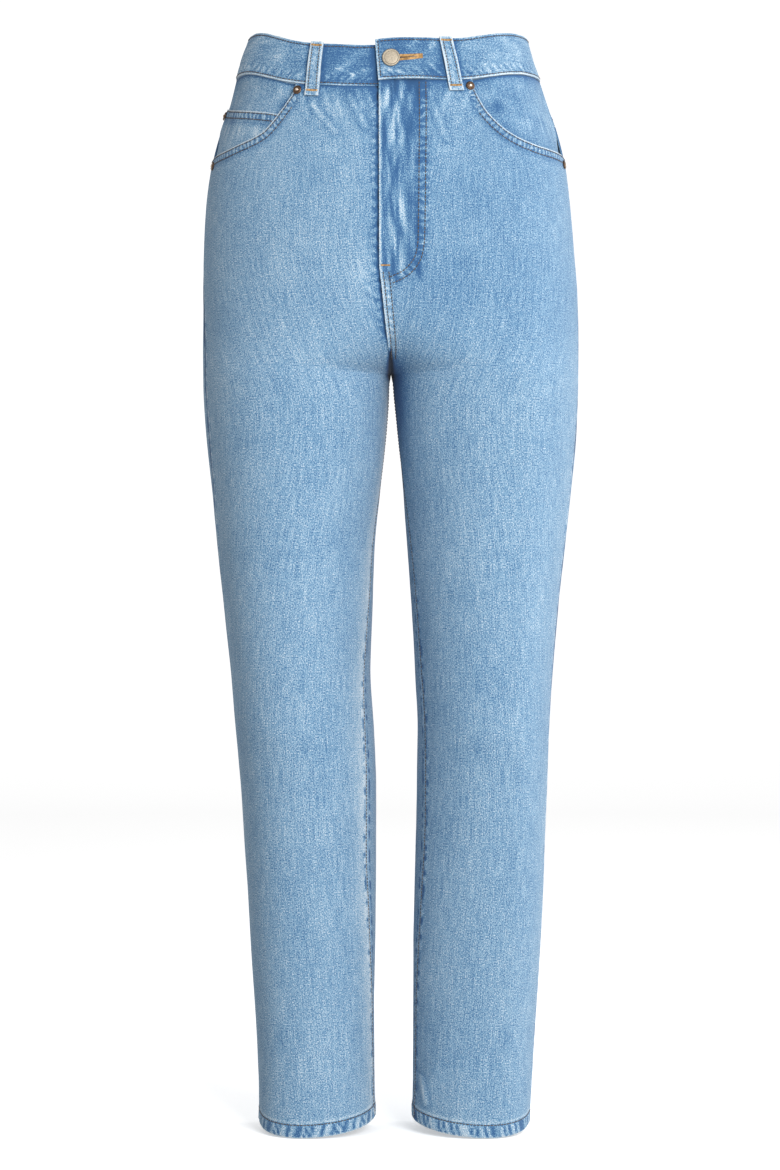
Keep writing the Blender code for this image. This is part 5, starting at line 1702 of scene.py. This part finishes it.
def sew(name, lines, finish, on=None, pitch=STITCH):
    """Rows of stitches along lines on a cloth's face. Each stitch is a short rounded bead of thread that dips
    into the cloth at both its ends."""
    around = np.radians(np.arange(0, 360, 360 / THREAD_SIDES))
    verts, faces = [], []
    for line in lines:
        places, normals = on.snap(resampled(line, pitch / 2))
        ends, middles = places[0::2], places[1::2]
        for k in range(min(len(ends) - 1, len(middles))):
            along = ends[k + 1] - ends[k]
            size = np.linalg.norm(along)
            if size < 0.4 * pitch:
                continue
            along = along / size
            side = np.cross(normals[2 * k + 1], along)
            side /= np.linalg.norm(side)
            out = np.cross(along, side)
            start = len(verts)
            for share, thick, lift in STITCH_RINGS:
                core = middles[k] + along * share * (size - STITCH_SPACE) + out * THREAD_R * lift
                reach = THREAD_R * thick
                verts += [tuple(core + reach * (side * math.cos(a) + out * math.sin(a))) for a in around]
            for low in range(start, len(verts) - THREAD_SIDES, THREAD_SIDES):
                for a in range(THREAD_SIDES):
                    b, high = (a + 1) % THREAD_SIDES, low + THREAD_SIDES
                    faces.append((low + a, low + b, high + b, high + a))
            faces.append(tuple(start + a for a in range(THREAD_SIDES - 1, -1, -1)))
            faces.append(tuple(len(verts) - THREAD_SIDES + a for a in range(THREAD_SIDES)))
    mesh = bpy.data.meshes.new(name)
    mesh.from_pydata(verts, [], faces)
    mesh.materials.append(finish)
    mesh.shade_smooth()
    return show(name, mesh)


def resampled(line, pitch):
    """A line's points spaced evenly, about a pitch apart."""
    runs = run_along(line)
    count = max(2, int(round(runs[-1] / pitch)))
    places = np.linspace(0, runs[-1], count + 1)
    return np.stack([np.interp(places, runs, line[:, k]) for k in range(3)], -1)


def sideways(line, normals):
    """Unit directions across a line on a cloth, to its left as seen from outside."""
    side = np.cross(normals, np.gradient(line, axis=0))
    return side / np.linalg.norm(side, axis=-1, keepdims=True)


def beside(line, cloth, distance):
    """A line moved sideways over a cloth's face, to its left as seen from outside, or right if negative."""
    _, normals = cloth.snap(line)
    return line + sideways(line, normals) * distance


def bar_tack(name, ends, cloth, finish, width=TACK_WIDTH, height=TACK_HEIGHT):
    """A dense bar of satin stitches between two points on a cloth: a row of close, crosswise beads."""
    places, normals = cloth.snap(resampled(np.array(ends), TACK_PITCH))
    across = np.linspace(-1, 1, 9)
    number = np.arange(len(places))
    swell = np.where(number % 2, 1.0, TACK_DIP)
    swell = swell * np.clip(np.minimum(number, number[::-1]) / 2, 0.3, 1)
    arch = height * (1 - across ** 2) ** 0.5
    flat = places[:, None] + sideways(places, normals)[:, None] * (across * width / 2)[None, :, None]
    outer = flat + normals[:, None] * (arch[None] * swell[:, None] - 0.1 * MM)[..., None]
    mesh = shell(name, outer, flat - normals[:, None] * 0.3 * MM)
    mesh.materials.append(finish)
    mesh.shade_smooth()
    return show(name, mesh)


def build_panels(finishes):
    """The four long panels, with their sewing."""
    for side in SIGN:
        for back in (False, True):
            name = ("back_" if back else "front_") + side
            cloth = panel_cloth(side, back)
            if back:
                back_wear(cloth, side)
            else:
                front_wear(cloth, side)
            hem = 1 - past(cloth.low, HEM_DEPTH - 0.6 * MM, 0.8 * MM)
            cloth_piece(name, cloth, CLOTH + (HEM_THICK - CLOTH) * hem, finishes)
            sew(name + "_stitching", panel_rows_of_stitches(cloth, side, back), finishes["tan"], on=cloth)
            if name == "front_left":
                build_fly_tack(cloth, finishes)


def panel_rows_of_stitches(cloth, side, back):
    """The lines sewn on one long panel."""
    lines = [cloth.row_at(HEM_ROW, "low")]
    height = cloth.base[:, 0, 2]
    if not back:
        lines.append(cloth.column_at(ROW_NEAR, "first")[height < CROTCH_Z - 6 * MM])
        edge = scoop_line(side)
        way = 1 if side == "right" else -1
        for row in (ROW_NEAR, ROW_FAR):
            line = beside(edge, cloth, way * row)
            lines.append(line[8:-1] if row == ROW_FAR else line[1:-1])
        if side == "left":
            lines += [fly_line(0.0), fly_line(FLY_ROW_IN)]
            low = (height < FLY_TACK["z"] - 2 * MM) & (height > CROTCH_Z + 10 * MM)
            lines += [cloth.column_at(row, "first")[low] for row in BELOW_FLY_ROWS]
    elif side == "left":
        above = height > CROTCH_Z + 8 * MM
        lines += [cloth.column_at(row, "first")[above] for row in (ROW_NEAR, ROW_FAR)]
    return lines


def build_fly_tack(cloth, finishes):
    """The bar tack at the foot of the fly's edge."""
    z = FLY_TACK["z"]
    ends = []
    for x in np.linspace(FLY_TACK["x0"], FLY_TACK["x1"], 5):
        turn = -SIGN["left"] * (angle_at_x("right", z, np.abs(x)) - centre_angle("right", z))
        ends.append(surface("left", np.array(z), np.array(turn)))
    bar_tack("fly_tack", ends, cloth, finishes["orange"], width=1.6 * MM)


def build_yokes(finishes):
    """The two halves of the back yoke, each lapped and double sewn along its lower edge."""
    for side in SIGN:
        name = "yoke_" + side
        u, v = grid(steps_between(220 * MM), steps_between(60 * MM, open_step=2.4 * MM))
        points = keep_to_side(side, yoke_point(side, u, v), KEPT_OFF)
        normals = normals_of(lambda a, b: yoke_point(side, a, b), u, v, (0, 1, 0, 1)) * SIGN[side]
        cloth = Cloth(*meet_at_middle(side, points, normals))
        soften(cloth, SEEDS[name], height=0.2 * MM)
        strips(cloth, "seam edge", cloth.last)
        puckers(cloth, cloth.low, cloth.s, TURNING, 9 * MM, 0.9)
        strips(cloth, "yoke lap", cloth.low)
        strips(cloth, "yoke at waistband", cloth.top)
        strips(cloth, "yoke centre", cloth.first)
        thread_grooves(cloth, cloth.low, ROW_NEAR, ROW_FAR)
        cloth_piece(name, cloth, CLOTH, finishes)
        lines = [cloth.row_at(row, "low") for row in (ROW_NEAR, ROW_FAR)]
        if side == "left":
            lines += [cloth.column_at(row, "first")[:-3] for row in (ROW_NEAR, ROW_FAR)]
        sew(name + "_stitching", lines, finishes["tan"], on=cloth)


def build_facings(finishes):
    """The hip facings behind the pocket mouths."""
    for side in SIGN:
        name = "pocket_facing_" + side
        seed = SEEDS[name]
        first = SCOOP_AT[side][0]
        shares = first - FACING_TUCK + (1 - first + FACING_TUCK) * steps_between(120 * MM)
        u, v = grid(shares, steps_between(70 * MM, open_step=2.4 * MM))
        top = front_seam_height(side, u)
        low = SCOOP_AT[side][1](np.maximum(u, first)) - FACING_BELOW_SCOOP
        points = front_surface(side, u, top + v * (low - top))
        normals = grid_normals(points)
        points = points + normals * facing_offset(side, u, points[..., 2])[..., None]
        cloth = Cloth(points, normals)
        # painted shade: the left facing a little darker than the right
        wash, shade = FACING_PAINTED_SHADE[side]
        cloth.wash += wash + 0.16 * clouds(cloth.s, cloth.t, 26 * MM, seed)
        cloth.shade += shade
        strips(cloth, "seam edge", cloth.last)
        strips(cloth, "facing at waistband", cloth.top)
        shadow, _ = cloth.distance_to(scoop_line(side) + np.array((0, FACING_DEPTH, 0)))
        strips(cloth, "shadow of the mouth", shadow)
        corner = np.hypot(np.abs(points[..., 0]) - 92 * MM, points[..., 2] + 53 * MM)
        strips(cloth, "facing corner", corner)
        fine, broad = waves(cloth.s, 7 * MM, seed), waves(cloth.s, 31 * MM, seed + 1)
        strips(cloth, "facing streaks", cloth.top, np.clip(fine, 0, 1) * np.clip(broad, 0, 1))
        cloth_piece(name, cloth, CLOTH, finishes)


def build_coin_pocket(finishes):
    """The coin pocket, double sewn along its mouth."""
    name, side = "coin_pocket", "right"
    seed = SEEDS[name]
    first, last = COIN_SHARES
    shares = first + (last - first) * steps_between(90 * MM)
    u, v = grid(shares, steps_between(60 * MM, open_step=2.2 * MM))
    points = front_surface(side, u, coin_height(u, v))
    normals = grid_normals(points)
    points = points + normals * coin_offset(side, u, points[..., 2])[..., None]
    cloth = Cloth(points, normals)
    cloth.wash += 0.22 * clouds(cloth.s, cloth.t, 22 * MM, seed)
    puckers(cloth, cloth.top, cloth.s, TURNING - 1.6 * MM, 5.5 * MM, 1.0, 0.2)
    strips(cloth, "coin pocket mouth", cloth.top)
    thread_grooves(cloth, cloth.top, ROW_NEAR, ROW_FAR)
    strips(cloth, "coin pocket streaks", cloth.top, np.clip(waves(cloth.s, 8 * MM, seed + 2), 0, 1))
    cloth_piece(name, cloth, COIN_THICK, finishes, "denim_light")
    lines = [cloth.row_at(row, "top")[1:-1] for row in (ROW_NEAR, ROW_FAR)]
    sew(name + "_stitching", lines, finishes["tan"], on=cloth)


def build_back_pockets(finishes):
    """The patch pockets on the seat, hemmed at the mouth and double sewn round their sides and point."""
    for side in SIGN:
        name = "back_pocket_" + side
        p, q = grid(2 * steps_between(134 * MM) - 1, steps_between(140 * MM))
        z, angle = pocket_spots(side, p, q)
        points = placed(side, level_point(side, z, angle))
        normals = grid_normals(points)
        raised = fold_height(side, z, angle) + PATCH_GAP + CLOTH
        cloth = Cloth(points + normals * raised[..., None], normals)
        soften(cloth, SEEDS[name], height=0.15 * MM)
        cloth.wash += 0.12
        edge = np.minimum(cloth.first, cloth.last)
        around = np.minimum(edge, cloth.low)
        along = np.where(cloth.low < edge, cloth.s, cloth.t)
        puckers(cloth, around, along, TURNING - 1 * MM, 8 * MM, 0.8)
        puckers(cloth, cloth.top, cloth.s, 12 * MM, 9 * MM, 0.8)
        strips(cloth, "back pocket edge", np.minimum(around, cloth.top))
        cloth_piece(name, cloth, CLOTH, finishes, "denim_light")
        lines = [cloth.row_at(row, "top")[2:-2] for row in POCKET_HEM_ROWS]
        for row in (ROW_NEAR, ROW_FAR - 1 * MM):
            lines += [cloth.column_at(row, edge) for edge in ("first", "last")]
            keep = (cloth.first[-1] > row) & (cloth.last[-1] > row)
            lines.append(cloth.row_at(row, "low")[keep])
        sew(name + "_stitching", lines, finishes["tan"], on=cloth)


def pocket_spots(side, p, q):
    """A back pocket's heights and angles on the body at a fine grid of p and q, read between levels."""
    half = POCKET_TOP_WIDTH / 2 + (POCKET_LOW_WIDTH - POCKET_TOP_WIDTH) / 2 * q
    drop = q * (POCKET_SIDE + POCKET_POINT * (1 - np.abs(p)))
    across = POCKET_FROM_CENTRE + POCKET_LEAN * q + p * half
    z = yoke_seam(side, np.clip(across / POCKET_REACH, 0, 1)) - POCKET_BELOW_YOKE - drop
    levels = np.linspace(z.min(), z.max(), 90)
    reaches = np.linspace(across.min(), across.max(), 90)
    starts = [float(centre_angle(side, np.array(level), True)) for level in levels]
    angles = np.array([
        [arc_angle(side, level, start, -reach) for reach in reaches] for level, start in zip(levels, starts)
    ])
    row = (z - levels[0]) / (levels[1] - levels[0])
    col = (across - reaches[0]) / (reaches[1] - reaches[0])
    r = np.clip(row.astype(int), 0, len(levels) - 2)
    c = np.clip(col.astype(int), 0, len(reaches) - 2)
    a, b = row - r, col - c
    low = angles[r, c] * (1 - b) + angles[r, c + 1] * b
    high = angles[r + 1, c] * (1 - b) + angles[r + 1, c + 1] * b
    return z, low * (1 - a) + high * a


def band_cloth():
    """The waistband's outer face as a fine grid."""
    start, end = overlap_turn(OVERLAP_TOP_X), 2 * math.pi + overlap_turn(UNDERLAP_X)
    turns = start + (end - start) * steps_between(720 * MM, open_step=2.6 * MM)
    turn, v = grid(turns, steps_between(BAND_HEIGHT, BAND_STEPS, BAND_STEPS, open_step=2.0 * MM))
    slant = overlap_turn(overlap_x(v)) - start
    turn = turn + slant * (1 - ease((turn - start) / overlap_turn(25 * MM)))
    return Cloth(*band_point(turn, v), v=v, grain_along=True)


def band_wear(cloth):
    """The waistband's creases and wear, the painted shadow beside its lap, and the painted shadow and darker
    wear beside its front loops.
    """
    seed = SEEDS["waistband"]
    run, x = cloth.first, cloth.base[..., 0]
    front = cloth.base[..., 1] < 20 * MM
    middle = (1 - past(np.abs(x + 5 * MM), 58 * MM, 16 * MM)) * front
    cloth.shade += 0.22 + (0.46 + 0.22 * clouds(run, cloth.low, 30 * MM, seed + 5)) * middle
    cloth.wash += 0.20 * past(np.abs(x), 84 * MM, 14 * MM) * front
    lumps = clouds(run * 1.3, cloth.v * BAND_HEIGHT, 24 * MM, seed)
    cloth.wash += 0.22 * np.clip(lumps, -0.6, 1)
    cloth.lift += 0.22 * MM * lumps
    for row in rows_of(BAND_CREASES):
        strips(cloth, "waistband crease", stroke(x, cloth.v * BAND_HEIGHT, row), front)
    # painted shadow of the lapped end on the band beneath it
    strips(cloth, "painted shadow beside the lap", x - overlap_x(cloth.v), run > LAPPED_FROM)
    # painted shadow and darker wear beside each front loop
    for loop in rows_of(FRONT_LOOPS):
        side_x = SIGN[loop["side"]] * (loop["top_x"] + (loop["low_x"] - loop["top_x"]) * cloth.v) * MM
        strips(cloth, "painted shadow and wear beside a loop", np.abs(x - side_x) - LOOP_WIDTH / 2, front)
    in_low = near(cloth.low - 6.5 * MM, 4 * MM)
    gather(cloth, 0.8 * in_low, run + 0.8 * cloth.low, 8 * MM)
    cloth.wash += 0.30 * in_low * (0.6 + 0.6 * waves(run, 61 * MM, 2.0))
    strips(cloth, "waistband seam", cloth.low)
    strips(cloth, "waistband top", cloth.top)
    strips(cloth, "waistband end", cloth.first)
    thread_grooves(cloth, cloth.top, BAND_TOP_ROW)
    thread_grooves(cloth, cloth.low, BAND_LOW_ROW)


def build_waistband(finishes):
    """The waistband with its slit for the button, and a row of stitches along each edge."""
    cloth = band_cloth()
    band_wear(cloth)
    cloth_piece("waistband", cloth, BAND_THICK, finishes, cut=cut_slit)
    lines = [line[4:-4] for line in (cloth.row_at(BAND_TOP_ROW, "top"), cloth.row_at(BAND_LOW_ROW, "low"))]
    lines.append(cloth.column_at(BAND_END_ROW, "first")[2:-2])
    sew("waistband_stitching", lines, finishes["tan"], on=cloth)
    return cloth


def cut_slit(piece):
    """Cuts the keyhole buttonhole through the lapped end of the waistband."""
    half = SLIT_WIDTH / BAND_HEIGHT / 2
    turn, v = grid(np.linspace(0, overlap_turn(SLIT_END_X), 9), (BUTTON_DOWN - half, BUTTON_DOWN + half))
    outer, normal = band_point(turn, v)
    proud, through = 1.2 * MM, BAND_THICK + 0.5 * MM
    slit = shell("slit_cutter", outer + normal * proud, outer - normal * through)
    place, out = button_place()
    bm = bmesh.new()
    bmesh.ops.create_cone(bm, cap_ends=True, segments=24, radius1=EYE_R, radius2=EYE_R, depth=proud + through)
    bm.transform(frame_on(place + out * (proud - through) / 2, out))
    eye = bpy.data.meshes.new("eye_cutter")
    bm.to_mesh(eye)
    bm.free()
    cutters = [bpy.data.objects.new(mesh.name, mesh) for mesh in (slit, eye)]
    for cutter in cutters:
        bpy.context.scene.collection.objects.link(cutter)
        cut = piece.modifiers.new(cutter.name, "BOOLEAN")
        cut.operation, cut.solver, cut.object = "DIFFERENCE", "EXACT", cutter
    bpy.context.view_layer.update()
    cut_mesh = bpy.data.meshes.new_from_object(piece.evaluated_get(bpy.context.evaluated_depsgraph_get()))
    piece.modifiers.clear()
    piece.data = cut_mesh
    for cutter in cutters:
        bpy.data.objects.remove(cutter)


def build_buttonhole(cloth, finishes):
    """The keyhole's stitched welt round the slit."""
    x = np.linspace(EYE_R + 1 * MM, SLIT_END_X + 5.0 * MM, 14)
    share = np.linspace(0, 1, 14)
    half = (SLIT_WIDTH / 2 + 0.9 * MM * (1 - share) + 0.3 * MM) / BAND_HEIGHT
    rise = 1.6 * MM / BAND_HEIGHT * share ** 2
    for name, way in (("top", -1), ("low", 1)):
        line, _ = band_point(overlap_turn(x), BUTTON_DOWN + way * half - rise)
        bar_tack("buttonhole_welt_" + name, line, cloth, finishes["orange"], width=2.5 * MM, height=0.6 * MM)


def build_belt_loops(finishes):
    """The belt loops, folded in at both sides, with two rows of stitches and a bar tack near each end."""
    ends = []
    for loop in rows_of(FRONT_LOOPS):
        side = loop["side"]
        top = angle_of_x(side, 0.0, loop["top_x"] * MM)
        low = angle_of_x(side, -BAND_HEIGHT, loop["low_x"] * MM)
        ends.append((loop["name"], loop_turn(side, top), loop_turn(side, low)))
    for loop in rows_of(BACK_LOOPS):
        turn = loop_turn(loop["side"], math.radians(loop["angle"]))
        ends.append((loop["name"], turn, turn))
    for k, (name, top, low) in enumerate(ends):
        across, down = grid(steps_between(LOOP_WIDTH, LOOP_STEPS, LOOP_STEPS, open_step=1.1 * MM) - 0.5,
                            LOOP_ROWS[0] + (LOOP_ROWS[-1] - LOOP_ROWS[0]) * np.linspace(0, 1, 48))
        cloth = Cloth(*loop_point(top, low, across * LOOP_WIDTH, down))
        side = np.minimum(cloth.first, cloth.last)
        cloth.lift += 0.25 * MM * ease(side / (1.2 * MM)) - 0.28 * MM * past(side, 3.2 * MM, 1.0 * MM)
        cloth.wash += 0.05 + 0.25 * clouds(cloth.s, cloth.t, 14 * MM, SEEDS["belt_loops"] + k)
        strips(cloth, "loop edge", side)
        strips(cloth, "loop end", np.minimum(cloth.top, cloth.low))
        gather(cloth, 0.5 * near(side - 4.2 * MM, 1.6 * MM), cloth.t, 5 * MM)
        cloth_piece(name, cloth, LOOP_THICK, finishes, "denim_light")
        lines = [cloth.column_at(LOOP_ROW, edge)[2:-2] for edge in ("first", "last")]
        sew(name + "_stitching", lines, finishes["tan"], on=cloth, pitch=LOOP_STITCH)
        for place, row in LOOP_TACKS.items():
            bar_tack(name + "_tack_" + place, cloth.row_at(row, place)[2:-2], cloth, finishes["orange"],
                     width=2.1 * MM, height=0.55 * MM)


def build_fly_shield(finishes):
    """The strip of denim behind the fly."""
    x, v = grid(SHIELD_FROM_X + (SHIELD_TO_X - SHIELD_FROM_X) * np.linspace(0, 1, 20), np.linspace(0, 1, 60))
    z = SHIELD_TOP_Z + v * (SHIELD_LOW_Z - SHIELD_TOP_Z)
    turn = angle_at_x("right", z, np.abs(x)) - centre_angle("right", z)
    points = surface("left", z, np.sign(x) * turn)
    normals = grid_normals(points)
    cloth = Cloth(points - normals * (FLY_LIFT + CLOTH + SHIELD_GAP), normals)
    cloth_piece("fly_shield", cloth, CLOTH, finishes)


def turned_piece(node, profile, place, out, finishes, slot, segments, rub_and_highlight):
    """Puts a metal piece in its solid's place, turned from a profile of radius and height. Its last argument
    says how wide its brighter middle is, worn and with a painted highlight."""
    bm = bmesh.new()
    around = np.radians(np.arange(segments) * 360 / segments)
    rings = []
    for r, z in rounded(profile):
        if r < 1e-7:
            rings.append([bm.verts.new((0, 0, z))] * segments)
        else:
            rings.append([bm.verts.new((r * math.cos(a), r * math.sin(a), z)) for a in around])
    for low, high in zip(rings, rings[1:]):
        for k in range(segments):
            corners = [low[k], low[(k + 1) % segments], high[(k + 1) % segments], high[k]]
            corners = [c for i, c in enumerate(corners) if c not in corners[:i]]
            if len(corners) > 2:
                bm.faces.new(corners)
    bmesh.ops.recalc_face_normals(bm, faces=bm.faces)
    mesh = bpy.data.meshes.new(node + "_metal")
    bm.transform(frame_on(place, out))
    bm.to_mesh(mesh)
    bm.free()
    away = [np.linalg.norm(np.cross(np.array(v.co) - np.array(place), out)) for v in mesh.vertices]
    mesh.attributes.new("rub_and_highlight", "FLOAT", "POINT").data.foreach_set("value", near(np.array(away), rub_and_highlight))
    mesh.materials.append(finishes[slot])
    mesh.shade_smooth()
    mesh.set_sharp_from_angle(angle=METAL_SHARP)
    show(node + "_metal", mesh, node, slot=slot)


def rounded(profile, steps=4, share=0.3):
    """A profile with its inner corners rounded off."""
    points = [np.array(profile[0], float)]
    for before, corner, after in zip(profile, profile[1:], profile[2:]):
        before, corner, after = (np.array(p, float) for p in (before, corner, after))
        reach = share * min(np.linalg.norm(before - corner), np.linalg.norm(after - corner))
        start = corner + (before - corner) / max(np.linalg.norm(before - corner), 1e-9) * reach
        end = corner + (after - corner) / max(np.linalg.norm(after - corner), 1e-9) * reach
        for t in np.linspace(0, 1, steps):
            points.append((1 - t) ** 2 * start + 2 * t * (1 - t) * corner + t ** 2 * end)
    points.append(np.array(profile[-1], float))
    return [tuple(p) for p in points]


def build_metal(finishes):
    """The tack button and the rivets."""
    place, out = button_place()
    lap = OVERLAP_LIFT + UNDERLAP_DROP
    foot, under = -lap + SEAM_GAP, 0.5 * MM
    cap = [
        (0, under + 1.85 * MM),
        (BUTTON_R - 2.6 * MM, under + 1.72 * MM),
        (BUTTON_R - 1.9 * MM, under + 1.45 * MM),
        (BUTTON_R - 1.3 * MM, under + 1.95 * MM),
        (BUTTON_R - 0.5 * MM, under + 1.85 * MM),
        (BUTTON_R, under + 1.1 * MM),
        (BUTTON_R - 0.1 * MM, under + 0.5 * MM),
        (BUTTON_R - 0.6 * MM, under),
        (SHANK_R, under),
        (SHANK_R, foot),
        (0, foot),
    ]
    turned_piece("button", cap, place, out, finishes, "nickel", 64, BUTTON_R)
    back = -lap - BAND_THICK - SEAM_GAP
    tack = [(0, back), (TACK_R, back - 0.1 * MM), (TACK_R - 0.4 * MM, back - 0.9 * MM), (0, back - 1.3 * MM)]
    turned_piece("button_tack", tack, place, out, finishes, "nickel", 40, TACK_R)
    dish = [
        (0, RIVET_HEIGHT),
        (0.9 * MM, RIVET_HEIGHT * 0.95),
        (1.4 * MM, RIVET_HEIGHT * 0.62),
        (2.1 * MM, RIVET_HEIGHT * 0.55),
        (3.2 * MM, RIVET_HEIGHT * 0.60),
        (RIVET_R, RIVET_HEIGHT * 0.25),
        (RIVET_R, 0),
        (0, 0),
    ]
    for rivet in rows_of(RIVETS):
        turned_piece(rivet["name"], dish, *rivet_place(rivet), finishes, "copper", 36, RIVET_RUB_AND_HIGHLIGHT)


def rivet_place(rivet):
    """The seat of a rivet and its outward direction."""
    side = rivet["side"]
    z = rivet["z"] * MM
    angle = angle_of_x(side, z, rivet["x"] * MM)
    here = placed(side, level_point(side, z, angle))
    beside_it = placed(side, level_point(side, z, angle + 0.01)) - here
    below = placed(side, level_point(side, z - 1 * MM, angle)) - here
    out = np.cross(beside_it, below) * -SIGN[side]
    out /= np.linalg.norm(out)
    seat = RIVET_GAP
    if rivet["on"] == "coin":
        start = centre_angle(side, z) + front_start(side, z)
        seat += float(coin_offset(side, (angle - start) / (front_end(side, z) - front_start(side, z)), z))
    return here + out * seat, out


def main():
    """Builds the scene."""
    make_camera()
    make_stage()
    make_lights()
    finishes = {
        "denim": denim("denim_washed", WASHED),
        "inside": denim("denim_inside", INSIDE, mottle=0.6),
        "tan": thread_finish("thread_tan", THREAD_TAN),
        "orange": thread_finish("thread_orange", THREAD_ORANGE),
        "nickel": metal_finish("champagne_metal", CHAMPAGNE, CHAMPAGNE, 0.58),
        "copper": metal_finish("old_copper", OLD_COPPER, RIVET_TIP_AND_HIGHLIGHT, 0.40, rubbed_and_highlit=True),
    }
    build_panels(finishes)
    build_yokes(finishes)
    build_facings(finishes)
    build_coin_pocket(finishes)
    build_back_pockets(finishes)
    build_buttonhole(build_waistband(finishes), finishes)
    build_belt_loops(finishes)
    build_fly_shield(finishes)
    build_metal(finishes)


main()
